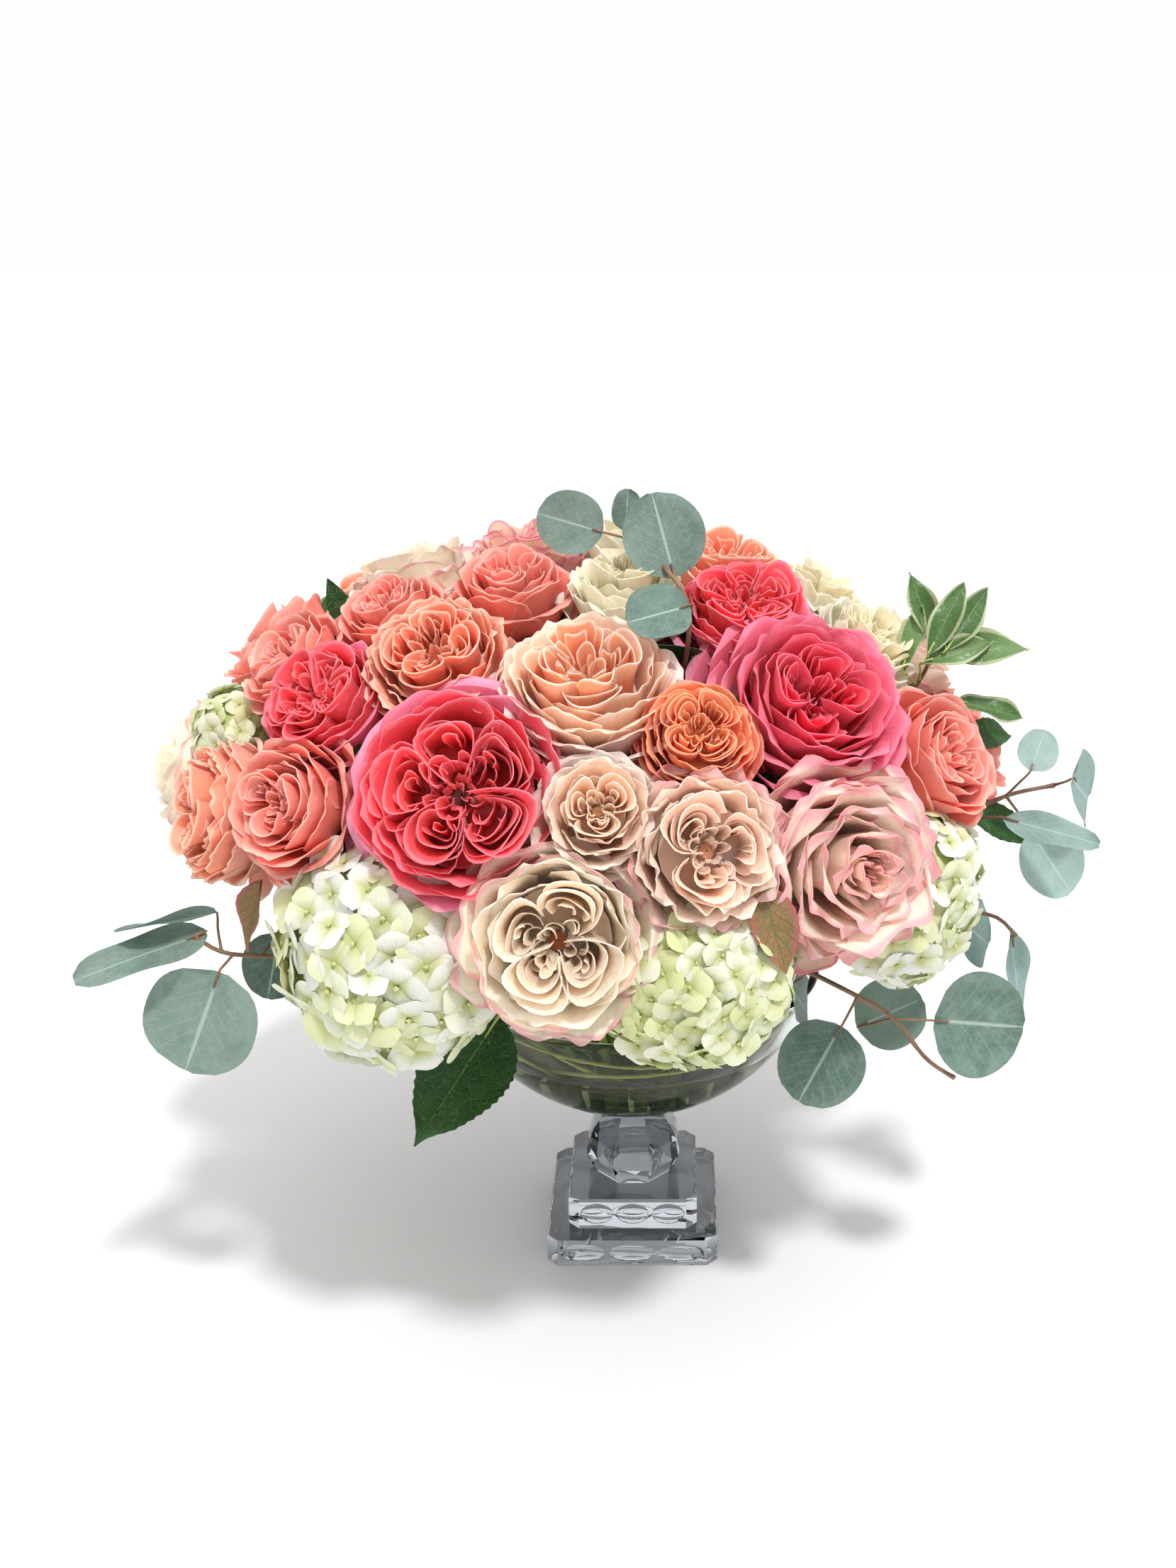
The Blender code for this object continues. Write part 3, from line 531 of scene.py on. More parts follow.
def roughNode(tree, value, low, high):
    return rangeNode(tree, value, 0.3, 0.7, low, high, "LINEAR")


def petalMaterial(kind, group):
    look = petalLooks[kind]
    made, tree = newMaterial("petals " + kind)
    grain = addNode(tree, "ShaderNodeGroup", {"Streaks": 1.0}, node_tree=group).outputs
    ring, shade = attributeNode(tree, "ring"), attributeNode(tree, "shade")
    streak, cloud = grain["Streak"], grain["Cloud"]
    colour = mixNode(tree, rangeNode(tree, ring, 0.15, 0.55), look["heart"], look["body"])
    colour = mixNode(tree, rangeNode(tree, ring, 0.62, 0.85), colour, look["outer"])
    # the foot of each petal takes the base colour: partly its own deeper colour, partly painted shade
    colour = mixNode(tree, rangeNode(tree, grain["Up"], 0.75, 0.15, 0.0, 0.9), colour, look["base"])
    edge = mixNode(tree, rangeNode(tree, ring, 0.66, 0.86), look["innerRim"], look["rim"])
    colour = mixNode(tree, mathNode(tree, "MULTIPLY", grain["Rim"], look["rimShare"]), colour, edge)
    if look["crease"]:
        colour = mixNode(tree, rangeNode(tree, streak, 0.14, 0.22, 0.0, look["crease"]), colour, creaseBrown)
    # painted shade: the eye colour darkens the disc at the bottom of the hollow centre
    colour = mixNode(tree, rangeNode(tree, ring, 0.025, 0.0), colour, look["eye"])
    colour = wire(tree, "ShaderNodeHueSaturation", {
        "Color": colour, "Value": weigh(tree, 0.90, (streak, 0.35), (shade, 0.16), (cloud, 0.16)),
        "Saturation": weigh(tree, 1.08, (cloud, -0.16))})
    return finishMaterial(made, {
        "Base Color": colour, "Roughness": roughNode(tree, cloud, 0.42, 0.62), "Specular IOR Level": 0.25,
        "Sheen Weight": 0.15}, (streak, 0.35, 0.0006), 0.46)


def woodyMaterial(name, dark, light, roughness, grain):
    # stems and twigs: colour that drifts along the stem, fine ridges, small pores
    made, tree = newMaterial(name)
    point = objectPoint(tree)
    patch, speck = noiseNode(tree, point, 38.0, 4.0, 0.6), noiseNode(tree, point, grain, 3.0, 0.7)
    colour = mixNode(tree, rangeNode(tree, patch, 0.3, 0.7), dark, light)
    pore = tuple(c * 0.45 for c in dark)
    colour = mixNode(tree, rangeNode(tree, speck, 0.62, 0.75, 0.0, 0.5), colour, pore)
    rough = roughNode(tree, speck, roughness - 0.1, roughness + 0.1)
    return finishMaterial(made, {"Base Color": colour, "Roughness": rough}, (speck, 0.5, 0.0005))


def makeVeinGroup():
    # midrib, side veins that rise at an angle from it, a net of small veins, and the leaf's margin
    group, given = newGroup("leafVeins", Pairs=9.0, Slant=4.0)
    across, up = acrossAndUp(group)
    point = objectPoint(group)
    side = mathNode(group, "ABSOLUTE", mathNode(group, "SUBTRACT", across, 0.5))
    cloud = noiseNode(group, point, 120.0, 4.0, 0.6)
    slope = mathNode(group, "MULTIPLY", mathNode(group, "POWER", side, 0.8), given["Slant"])
    climb = mathNode(group, "SUBTRACT", mathNode(group, "MULTIPLY", up, given["Pairs"]), slope)
    away = mathNode(group, "PINGPONG", weigh(group, climb, (cloud, 0.35)), 0.5)
    veins = mathNode(group, "MULTIPLY", rangeNode(group, away, 0.10, 0.0), rangeNode(group, side, 0.47, 0.30))
    net = wire(group, "ShaderNodeTexVoronoi", {"Scale": 260.0, "Vector": point}, feature="DISTANCE_TO_EDGE")
    return closeGroup(group, Midrib=rangeNode(group, side, 0.028, 0.006), Veins=veins, Cloud=cloud,
                      Net=rangeNode(group, net, 0.12, 0.0),
                      Margin=rangeNode(group, weigh(group, side, (cloud, 0.10)), 0.42, 0.48))


# Each leaf's tissue, how many pairs of veins and how steep, how strongly each mark shows, and its finish
leafLooks = named("dark light vein margin pairs slant Veins Midrib Net Margin roughness bump glow", {
    "eucalyptus": ((0.088, 0.160, 0.125), (0.235, 0.335, 0.28), (0.46, 0.58, 0.50), (0.30, 0.40, 0.35),
                   7.0, 5.0, 0.2, 0.8, 0.10, 0.15, 0.58, 0.25, 0.18),
    "silver": ((0.225, 0.355, 0.325), (0.42, 0.56, 0.53), (0.58, 0.72, 0.68), (0.45, 0.55, 0.52),
               7.0, 5.0, 0.30, 0.6, 0.05, 0.15, 0.6, 0.2, 0.2),
    "garden": ((0.018, 0.075, 0.016), (0.055, 0.155, 0.035), (0.13, 0.27, 0.08), (0.05, 0.13, 0.03),
               8.0, 4.5, 0.6, 0.8, 0.22, 0.1, 0.40, 1.0, 0.22),
    "variegated": ((0.07, 0.17, 0.04), (0.20, 0.34, 0.12), (0.30, 0.42, 0.20), (0.72, 0.76, 0.50),
                   10.0, 5.0, 0.25, 0.6, 0.12, 0.65, 0.34, 0.3, 0.25),
    "bronze": ((0.09, 0.10, 0.02), (0.36, 0.20, 0.10), (0.16, 0.22, 0.05), (0.52, 0.14, 0.13),
               7.0, 4.0, 0.6, 0.7, 0.5, 0.7, 0.5, 0.6, 0.2),
})


def leafMaterial(kind, group):
    look = leafLooks[kind]
    made, tree = newMaterial("leaf " + kind)
    slopes = {"Pairs": look["pairs"], "Slant": look["slant"]}
    veins = addNode(tree, "ShaderNodeGroup", slopes, node_tree=group).outputs
    tissue = weigh(tree, 0.0, (attributeNode(tree, "shade"), 0.45), (veins["Cloud"], 0.65))
    colour = mixNode(tree, rangeNode(tree, tissue, 0.25, 0.85), look["dark"], look["light"])
    for mark, tint in (("Net", "vein"), ("Veins", "vein"), ("Margin", "margin"), ("Midrib", "vein")):
        colour = mixNode(tree, mathNode(tree, "MULTIPLY", veins[mark], look[mark]), colour, look[tint])
    rough = roughNode(tree, veins["Cloud"], look["roughness"] - 0.08, look["roughness"] + 0.08)
    ridge = weigh(tree, 0.0, (veins["Veins"], -0.6), (veins["Net"], -0.35), (veins["Midrib"], -0.8))
    return finishMaterial(made, {"Base Color": colour, "Roughness": rough, "Specular IOR Level": 0.4},
                          (ridge, look["bump"], 0.0008), look["glow"])


def floretMaterial(name, tip, heart, lime):
    # hydrangea sepals: green at the heart of each floret, pale at the tips, fine veins up each sepal
    made, tree = newMaterial(name)
    up, across, shade = (attributeNode(tree, label) for label in ("up", "across", "shade"))
    point = objectPoint(tree)
    cloud, fine = noiseNode(tree, point, 55.0, 3.0, 0.6), noiseNode(tree, point, 600.0, 2.0, 0.5)
    ripe = weigh(tree, 0.0, (shade, 0.55), (cloud, 0.75))
    colour = mixNode(tree, rangeNode(tree, ripe, 0.45, 0.95), tip, lime)
    colour = mixNode(tree, rangeNode(tree, up, 0.55, 0.05, 0.0, 0.9), colour, heart)
    vein = mathNode(tree, "PINGPONG", mathNode(tree, "MULTIPLY", across, 3.5), 0.5)
    fade = rangeNode(tree, up, 1.0, 0.5, 0.0, 0.35)
    vein = mathNode(tree, "MULTIPLY", rangeNode(tree, vein, 0.14, 0.0), fade)
    colour = mixNode(tree, vein, colour, heart)
    colour = mixNode(tree, rangeNode(tree, fine, 0.55, 0.7, 0.0, 0.12), colour, (0.62, 0.66, 0.42))
    return finishMaterial(made, {
        "Base Color": colour, "Roughness": roughNode(tree, cloud, 0.45, 0.62), "Specular IOR Level": 0.3},
        (mathNode(tree, "ADD", vein, fine), 0.2, 0.0004), 0.35)


# Glass and water: tint, tint of its shadow, index, shine, most roughness, ripple height and scale, dimples
clearLooks = named("tint shadow index shine rough ripple scale dimples", {
    "bowl glass": ((0.74, 0.78, 0.74), (0.90, 0.93, 0.90), 1.25, 0.3, 0.01, 0.00009, 60.0, 0.5),
    # the crystal's dark grey tint is painted shade, standing for dark surroundings seen through it
    "crystal": ((0.54, 0.57, 0.61), (0.42, 0.44, 0.47), 1.52, 1.0, 0.02, 0.00012, 35.0, 0.0),
    # the water's dark tint is painted shade that darkens the inside of the bowl
    "vase water": ((0.17, 0.19, 0.09), (0.88, 0.92, 0.80), 1.12, 0.3, 0.01, 0.00007, 28.0, 0.0),
})


def clearMaterial(name):
    look = clearLooks[name]
    made, tree = newMaterial(name)
    point = objectPoint(tree)
    ripples = noiseNode(tree, point, look["scale"], 2.0, 0.5)
    if look["dimples"]:  # faint, near the foot of the bowl
        dimple = wire(tree, "ShaderNodeTexVoronoi", {"Scale": 190.0, "Vector": point})
        height = addNode(tree, "ShaderNodeSeparateXYZ", {0: point}).outputs[2]
        ripples = weigh(tree, ripples, (rangeNode(tree, height, 0.125, 0.095, 0.0, look["dimples"]), dimple))
    finishMaterial(made, {"Base Color": look["tint"], "Transmission Weight": 1.0, "Metallic": 0.0,
                          "IOR": look["index"], "Specular IOR Level": look["shine"],
                          "Roughness": rangeNode(tree, ripples, 0.45, 0.75, 0.0, look["rough"], "LINEAR")},
                   (ripples, 1.0, look["ripple"]))
    mixShaders(tree, addNode(tree, "ShaderNodeLightPath").outputs["Is Shadow Ray"],
               wire(tree, "ShaderNodeBsdfTransparent", {"Color": look["shadow"]}))
    return made


print("stage: materials")
petalGroup, veinGroup = makePetalGroup(), makeVeinGroup()
petalMaterials = {kind: petalMaterial(kind, petalGroup) for kind in petalLooks}
leafMaterials = {kind: leafMaterial(kind, veinGroup) for kind in leafLooks}
stemGreen = woodyMaterial("flower stem", (0.22, 0.36, 0.06), (0.48, 0.62, 0.15), 0.42, 900.0)
stemRed = woodyMaterial("eucalyptus stem", (0.15, 0.055, 0.035), (0.30, 0.19, 0.11), 0.5, 700.0)
willowBark = woodyMaterial("willow bark", (0.44, 0.43, 0.06), (0.72, 0.68, 0.18), 0.45, 900.0)
hydrangeaMaterials = {
    "white": floretMaterial("white florets", (0.96, 0.965, 0.93), (0.72, 0.76, 0.34), (0.86, 0.89, 0.58)),
    "lime": floretMaterial("lime florets", (0.94, 0.95, 0.82), (0.70, 0.74, 0.32), (0.82, 0.86, 0.50)),
}
floretHeart = woodyMaterial("floret heart", (0.36, 0.44, 0.13), (0.56, 0.62, 0.26), 0.6, 500.0)
bowlGlass, crystal, vaseWater = (clearMaterial(name) for name in clearLooks)


def geometryTree(name, inputs):
    # an input's value is its default, and a word says what kind an input without one is
    tree = bpy.data.node_groups.new(name, "GeometryNodeTree")
    kinds = {float: "Float", int: "Int", tuple: "Vector"}
    for label, value in {"Geometry": "Geometry", **inputs}.items():
        kind = kinds.get(type(value), value)
        made = tree.interface.new_socket(label, in_out="INPUT", socket_type="NodeSocket" + kind)
        if kind != value:
            made.default_value = value
    tree.interface.new_socket("Geometry", in_out="OUTPUT", socket_type="NodeSocketGeometry")
    return tree, addNode(tree, "NodeGroupInput").outputs


def finishTree(tree, geometry, **inputs):
    real = wire(tree, "GeometryNodeRealizeInstances", {0: geometry})
    addNode(tree, "NodeGroupOutput", {0: wire(tree, "GeometryNodeSetMaterial", {"Geometry": real, **inputs})})
    return tree


def vectorNode(tree, operation, inputs):
    return wire(tree, "ShaderNodeVectorMath", inputs, operation=operation)


def makeStemTree():
    # a tube along the input line, swollen at its knots and slightly crooked
    tree, given = geometryTree("stemAlongLine", {
        "Radius": 0.0025, "Taper": 0.15, "Knot spacing": 0.05, "Knot swell": 0.25, "Wobble": 0.001,
        "Step": 0.006, "Seed": 0.0, "Material": "Material"})
    line = wire(tree, "GeometryNodeMeshToCurve", {"Mesh": given["Geometry"]})
    line = wire(tree, "GeometryNodeCurveSplineType", {"Curve": line}, spline_type="CATMULL_ROM")
    line = wire(tree, "GeometryNodeResampleCurve", {"Curve": line, "Length": given["Step"]}, mode="LENGTH")
    noise = addNode(tree, "ShaderNodeTexNoise", {
        "Vector": wire(tree, "GeometryNodeInputPosition"), "W": given["Seed"], "Scale": 28.0, "Detail": 1.0},
        noise_dimensions="4D")
    push = vectorNode(tree, "SUBTRACT", {0: noise.outputs["Color"], 1: (0.5, 0.5, 0.5)})
    push = vectorNode(tree, "SCALE", {0: push, "Scale": mathNode(tree, "MULTIPLY", given["Wobble"], 2.0)})
    line = wire(tree, "GeometryNodeSetPosition", {"Geometry": line, "Offset": push})
    along = addNode(tree, "GeometryNodeSplineParameter").outputs
    halfway = mathNode(tree, "MULTIPLY", given["Knot spacing"], 0.5)
    bulge = rangeNode(tree, mathNode(tree, "PINGPONG", along["Length"], halfway), 0.004, 0.0)
    swell = mathNode(tree, "ADD", mathNode(tree, "MULTIPLY", bulge, given["Knot swell"]), 1.0)
    narrow = mathNode(tree, "SUBTRACT", 1.0, mathNode(tree, "MULTIPLY", along["Factor"], given["Taper"]))
    radius = mathNode(tree, "MULTIPLY", mathNode(tree, "MULTIPLY", swell, narrow), given["Radius"])
    circle = wire(tree, "GeometryNodeCurvePrimitiveCircle", {"Resolution": 9, "Radius": 1.0})
    tube = wire(tree, "GeometryNodeCurveToMesh", {"Curve": line, "Scale": radius, "Profile Curve": circle,
                                                  "Fill Caps": True})
    return finishTree(tree, tube, Material=given["Material"])


def randomNode(tree, kind, inputs):
    return wire(tree, "FunctionNodeRandomValue", inputs, data_type=kind)


def makeScatterTree():
    # spreads copies of one shape over the input surface, turned to its normals, and keeps a smaller core
    tree, given = geometryTree("scatterOnSurface", {
        "Shape": "Object", "Spacing": 0.012, "Tilt": 0.3, "Smallest": 0.8, "Largest": 1.15, "Seed": 1,
        "Core": 0.85, "Core centre": (0, 0, 0), "Material": "Material", "Core material": "Material"})
    surface, tilt, seed, centre = (given[label] for label in ("Geometry", "Tilt", "Seed", "Core centre"))
    spread = addNode(tree, "GeometryNodeDistributePointsOnFaces", {
        "Mesh": surface, "Distance Min": given["Spacing"], "Density Max": 60000.0, "Seed": seed},
        distribute_method="POISSON").outputs
    back = mathNode(tree, "MULTIPLY", tilt, -1.0)
    low = wire(tree, "ShaderNodeCombineXYZ", {0: back, 1: back})
    high = wire(tree, "ShaderNodeCombineXYZ", {0: tilt, 1: tilt, 2: 2 * math.pi})
    turn = randomNode(tree, "FLOAT_VECTOR", {"Min": low, "Max": high, "Seed": seed})
    turn = wire(tree, "FunctionNodeEulerToRotation", {0: turn})
    turn = wire(tree, "FunctionNodeRotateRotation", {0: spread["Rotation"], 1: turn}, rotation_space="LOCAL")
    size = randomNode(tree, "FLOAT", {"Min": given["Smallest"], "Max": given["Largest"],
                                      "Seed": mathNode(tree, "ADD", seed, 7.0)})
    shade = randomNode(tree, "FLOAT", {"Seed": mathNode(tree, "ADD", seed, 19.0)})
    copies = wire(tree, "GeometryNodeInstanceOnPoints", {
        "Points": spread["Points"], "Rotation": turn, "Scale": size,
        "Instance": addNode(tree, "GeometryNodeObjectInfo", {"Object": given["Shape"]}).outputs["Geometry"]})
    for label, kind, value in (("shade", "FLOAT", shade), ("copied", "BOOLEAN", True)):
        copies = wire(tree, "GeometryNodeStoreNamedAttribute", {
            "Geometry": copies, "Name": label, "Value": value}, data_type=kind, domain="INSTANCE")
    place = vectorNode(tree, "SUBTRACT", {0: wire(tree, "GeometryNodeInputPosition"), 1: centre})
    place = vectorNode(tree, "SCALE", {0: place, "Scale": given["Core"]})
    place = vectorNode(tree, "ADD", {0: place, 1: centre})
    core = wire(tree, "GeometryNodeSetMaterial", {"Geometry": surface, "Material": given["Core material"]})
    core = wire(tree, "GeometryNodeSetPosition", {"Geometry": core, "Position": place})
    join = addNode(tree, "GeometryNodeJoinGeometry", {0: core})
    tree.links.new(copies, join.inputs[0])
    copied = wire(tree, "GeometryNodeInputNamedAttribute", {"Name": "copied"}, data_type="BOOLEAN")
    return finishTree(tree, join.outputs[0], Material=given["Material"], Selection=copied)


def plainMesh(source, name):
    # the source as its modifiers leave it, which then goes
    bpy.context.view_layer.update()
    graph = bpy.context.evaluated_depsgraph_get()
    mesh = bpy.data.meshes.new_from_object(
        source.evaluated_get(graph), preserve_all_data_layers=True, depsgraph=graph)
    bpy.data.objects.remove(source)
    mesh.name = name
    return mesh


def grow(name, source, tree, values):
    # runs a geometry tree on a helper mesh
    helper = addObject(name + "_seed", source)
    modifier = helper.modifiers.new("grow", "NODES")
    modifier.node_group = tree
    for item in tree.interface.items_tree:
        if item.in_out == "INPUT" and item.name in values:
            modifier[item.identifier] = values[item.name]
    return addObject(name, plainMesh(helper, name), sharp=50)


# Tubes: radius, taper, knot spacing, knot swell, wobble and step, with lengths in millimetres
tubeForms = {
    "rose": (2.4, 0.05, 55, 0.2, 0.5, 5), "hydrangea": (3.072, 0.05, 55, 0.2, 0.5, 5),
    "sprig": (1.02, -0.5, 32, 0.35, 0.5, 5), "stalk": (0.75, 0.35, 200, 0.3, 0.2, 3),
    "willow": (1.0, 0.45, 30, 0.5, 0.9, 3),
}
solidRadii = {"rose": 2.5, "hydrangea": 3.2, "sprig": 1.7}


def growTubes(name, routes, kind, seed, material, slot, node):
    points, edges = [], []
    for route in routes:
        first = len(points)
        points += [tuple(p) for p in route]
        edges += [(first + i, first + i + 1) for i in range(len(route) - 1)]
    line = bpy.data.meshes.new("line")
    line.from_pydata(points, edges, [])
    radius, taper, spacing, swell, wobble, step = tubeForms[kind]
    finishPiece(grow(name, line, stemTree, {
        "Radius": radius * mm, "Taper": taper, "Knot spacing": spacing * mm, "Knot swell": swell,
        "Wobble": wobble * mm, "Step": step * mm, "Seed": float(seed), "Material": material}), slot, node)


def bezier(points, count):
    made = []
    for i in range(count + 1):
        level = list(points)
        while len(level) > 1:
            level = [a.lerp(b, i / count) for a, b in zip(level, level[1:])]
        made.append(level[0])
    return made


def spreadRound(starts):
    # even azimuths round the bowl, in the order of where the stems come from
    azimuths = [math.degrees(math.atan2(point.x, -point.y)) for point in starts]
    order = sorted(range(len(starts)), key=lambda i: azimuths[i])
    step = 360 / len(order)
    shift = sum(azimuths[i] - k * step for k, i in enumerate(order)) / len(order)
    return {i: shift + k * step for k, i in enumerate(order)}


def stemRoute(start, inward, ring, azimuth, radius):
    # from the bloom through the bowl's mouth to a foot that rests on the glass
    mouthRadius, footRadius = (r * mm for r in shape["rings"][ring])
    mouth = direction(azimuth, 0) * mouthRadius + Vector((0, 0, shape["mouthHeight"] * mm))
    reach = shape["bowlInside"] * mm - radius - 0.35 * mm
    drop = math.sqrt(reach**2 - footRadius**2)
    foot = Vector(shape["bowlCentre"]) * mm + direction(azimuth, 0) * footRadius - Vector((0, 0, drop))
    lead = start + inward * (start - mouth).length * 0.35
    above = bezier([start, lead, mouth + (mouth - foot) * 0.35, mouth], 7)
    return above + [mouth.lerp(foot, 0.33), mouth.lerp(foot, 0.66), foot]


# Foliage: ring, points of the stem outside the bowl, leaves, outline and finish. A leaf has its centre, the
# point or the number of the stem point that it forks from, length, width, and facing azimuth and elevation.
sprigs = {
    "eucalyptus_top": ("top", ((27, -72, 345), (30, -88, 374), (26, -76, 389), (6, -36, 403)), (
        ((-28, -22, 410), 3, 34, 32, -8, 16), ((18, -56, 410), 2, 41, 40, 4, 20),
        ((16, -106, 384), 1, 30, 30, 8, 46), ((0, -20, 416), 3, 20, 18, 30, 10)), "round", "eucalyptus"),
    "eucalyptus_left": ("low", ((-140, -84, 206), (-176, -100, 214), (-193, -106, 219), (-204, -110, 229)), (
        ((-201, -122, 190), (-188, -104, 217), 52, 58, -6, 12), ((-216, -112, 238), 2, 48, 36, -150, 62),
        ((-224, -126, 227), 3, 64, 22, 30, 58), ((-178, -74, 196), 1, 34, 32, 0, 16)), "round", "eucalyptus"),
    "eucalyptus_low_right": (
        "low", ((90, -80, 196), (113, -95, 190), (131, -95, 178), (148, -95, 156), (163, -95, 145)), (
            ((94, -112, 162), 1, 42, 44, 0, 24), ((134, -66, 166), 2, 38, 38, 10, 28),
            ((175, -90, 172), 2, 46, 55, 6, 14), ((88, -58, 170), 0, 32, 26, 70, 10)), "round", "eucalyptus"),
    "eucalyptus_right": ("low", ((130, -34, 230), (168, -40, 262), (190, -44, 276), (214, -44, 282)), (
        ((200, -62, 306), 2, 21, 21, 4, 20), ((228, -44, 280), 3, 46, 40, 66, 6),
        ((214, -50, 243), 2, 40, 34, 10, 12), ((207, -72, 268), 1, 48, 17, -20, 46)), "round", "silver"),
    "eucalyptus_side_right": ("low", ((118, -14, 196), (160, -24, 204), (190, -28, 204), (204, -28, 192)), (
        ((206, -30, 170), 3, 46, 34, 62, 10), ((188, -8, 184), 1, 40, 38, 60, 10)), "round", "silver"),
    "eucalyptus_back_left": ("low", ((-110, 60, 190), (-150, 84, 196), (-182, 100, 200), (-206, 108, 206)), (
        ((-186, 124, 180), 2, 48, 50, -140, 14), ((-222, 112, 216), 3, 40, 42, -112, 26),
        ((-178, 72, 176), 1, 44, 44, -100, 14)), "round", "eucalyptus"),
    "eucalyptus_back_right": ("low", ((92, 74, 190), (126, 104, 192), (150, 126, 190), (164, 140, 184)), (
        ((146, 146, 166), 2, 46, 48, 150, 12), ((184, 140, 182), 3, 44, 44, 130, 20),
        ((150, 92, 168), 1, 42, 42, 110, 12)), "round", "eucalyptus"),
    "pittosporum_right": ("mid", ((106, -22, 290), (140, -26, 322), (152, -28, 344)), (
        ((146, -30, 368), 2, 40, 14, 10, 20), ((168, -30, 364), 2, 44, 15, 20, 30),
        ((176, -34, 350), 2, 46, 18, 0, 40), ((182, -30, 318), 1, 36, 15, 20, 50),
        ((156, -38, 366), (150, -28, 340), 40, 15, -10, 30),
        ((162, -40, 350), (146, -27, 332), 38, 14, 0, 40),
        ((140, -36, 356), (144, -27, 330), 34, 13, -30, 30),
        ((168, -22, 346), (150, -28, 340), 40, 14, 40, 30)),
        "long", "variegated"),
    "pittosporum_back_left": ("mid", ((-120, 42, 290), (-154, 60, 304), (-170, 66, 316)), (
        ((-170, 72, 340), 2, 42, 15, -150, 20), ((-192, 72, 334), 2, 46, 16, -120, 30),
        ((-196, 66, 318), 2, 44, 16, -110, 40), ((-176, 88, 322), 2, 40, 14, -150, 50)),
        "long", "variegated"),
    "hydrangea_leaf_front": ("low", ((-48, -92, 178), (-58, -108, 180), (-66, -118, 176)), (
        ((-80, -132, 164), (-62, -116, 188), 72, 50, 6, 30),), "broad", "garden"),
    "hydrangea_leaf_back": ("low", ((36, 92, 178), (44, 110, 180), (52, 122, 176)), (
        ((62, 142, 162), 2, 60, 46, 168, 34),), "broad", "garden"),
    "rose_leaf_left": ("mid", ((-112, -6, 306), (-136, -10, 342), (-142, -12, 356)), (
        ((-146, -12, 368), 2, 26, 14, 20, 14),), "pointed", "garden"),
}
leafOutlines = {
    "round": lambda t: np.sqrt(np.clip(1 - (2 * t - 1) ** 2, 0, 1)) ** 0.92 * (1.02 - 0.10 * t),
    "long": lambda t: np.sin(math.pi * np.clip(t, 0, 1)) ** 0.8,
    "pointed": lambda t: np.sin(math.pi * np.clip(t, 0, 1) ** 0.8) ** 0.9 * (1 - 0.2 * t),
    "broad": lambda t: (np.sin(math.pi * np.clip(t, 0, 1) ** 0.72) ** 0.85 * (1 - 0.22 * t)
                        * (1 - 0.6 * smooth(t, 0.76, 1.0))),
}
leafForm = {  # bend along the leaf, fold about the midrib, wave of its edge, teeth on its edge
    "round": (0.10, 0.10, 0.035, 0), "long": (0.22, 0.22, 0.07, 0), "pointed": (0.2, 0.2, 0.03, 9),
    "broad": (0.24, 0.22, 0.03, 17),
}
leafThickness = 0.45 * mm


def leafBlade(pile, rng, outline, centre, along, normal, length, width):
    bend, fold, wave, teeth = leafForm[outline]
    rows = 15 if teeth == 0 else teeth * 2 + 1
    t, s = sheetGrid(rows, 9, 0.004, 0.996)
    half = leafOutlines[outline](t)
    if teeth:
        half = half * (1 - 0.05 * (np.arange(rows) % 2))[:, None]
    phase = rng.uniform(0, 6.3)
    rise = -bend * length * ((t - 0.5) ** 2) * rng.uniform(0.5, 1.3)
    rise = rise + fold * width * half * (np.abs(s) ** 1.4 - 0.4) * rng.uniform(0.5, 1.1)
    rise = rise + wave * length * np.sin(t * rng.uniform(6, 9) + phase + 1.4 * np.sign(s)) * np.abs(s) ** 2
    across = normal.cross(along).normalized()
    grid = (np.array(centre) + ((t - 0.5) * length)[..., None] * np.array(along)
            + (s * half * width / 2)[..., None] * np.array(across) + rise[..., None] * np.array(normal))
    pile.add(grid, leafThickness, t, rng.random())


def flatten(along, normal):
    # the way a leaf runs, square to the way it faces
    return (along - normal * along.dot(normal)).normalized()


def greenSlot(name):
    return "leaves_eucalyptus" if name.startswith("eucalyptus") else "leaves_green"


print("stage: foliage and stems")
stemTree = makeStemTree()
stems = []  # node, kind, ring, start of the solid, start, the way in, the points before it
for name, bloom in blooms.items():
    start, facing = behindBloom(name, "stem")
    stems.append((name, name.split("_")[0], bloom[0], behindBloom(name, "solid")[0], start, -facing,
                  [start + facing * 6 * mm]))
for name, sprig in sprigs.items():
    outer = [Vector(p) * mm for p in reversed(sprig[1])]
    inward = (outer[-1] - outer[-2]).normalized()
    stems.append((name, "sprig", sprig[0], outer[-1], outer[-1], inward, outer[:-1]))
for ring in shape["rings"]:
    group = [stem for stem in stems if stem[2] == ring]
    places = spreadRound([stem[3] for stem in group])
    for i, (name, kind, _, _, start, inward, before) in enumerate(group):
        route = before + stemRoute(start, inward, ring, places[i], solidRadii[kind] * mm)
        material = stemRed if name.startswith(("eucalyptus", "pittosporum")) else stemGreen
        growTubes(name + "_stem", [route], kind, i, material, greenSlot(name), name)

for number, (name, (ring, points, leaves, outline, finish)) in enumerate(sprigs.items()):
    rng, pile, stalks = np.random.default_rng(300 + number), SheetPile(), []
    for centre, fork, length, width, azimuth, elevation in leaves:
        centre, fork = Vector(centre) * mm, Vector(points[fork] if isinstance(fork, int) else fork) * mm
        length, width = length * mm, width * mm
        normal = direction(azimuth, elevation)
        along = flatten(centre - fork, normal)
        base = centre - along * length * 0.5
        leafBlade(pile, rng, outline, centre, along, normal, length, width)
        stalks.append([fork, base.lerp(fork, 0.5) + normal * 0.8 * mm, base - along * 0.6 * mm,
                       base + along * length * 0.16 - normal * 0.4 * mm])
    finishPiece(pile.object(name + "_leaves", leafMaterials[finish]), greenSlot(name), name)
    material = stemRed if name.startswith("eucalyptus") else stemGreen
    growTubes(name + "_stalks", stalks, "stalk", number, material, greenSlot(name), name)

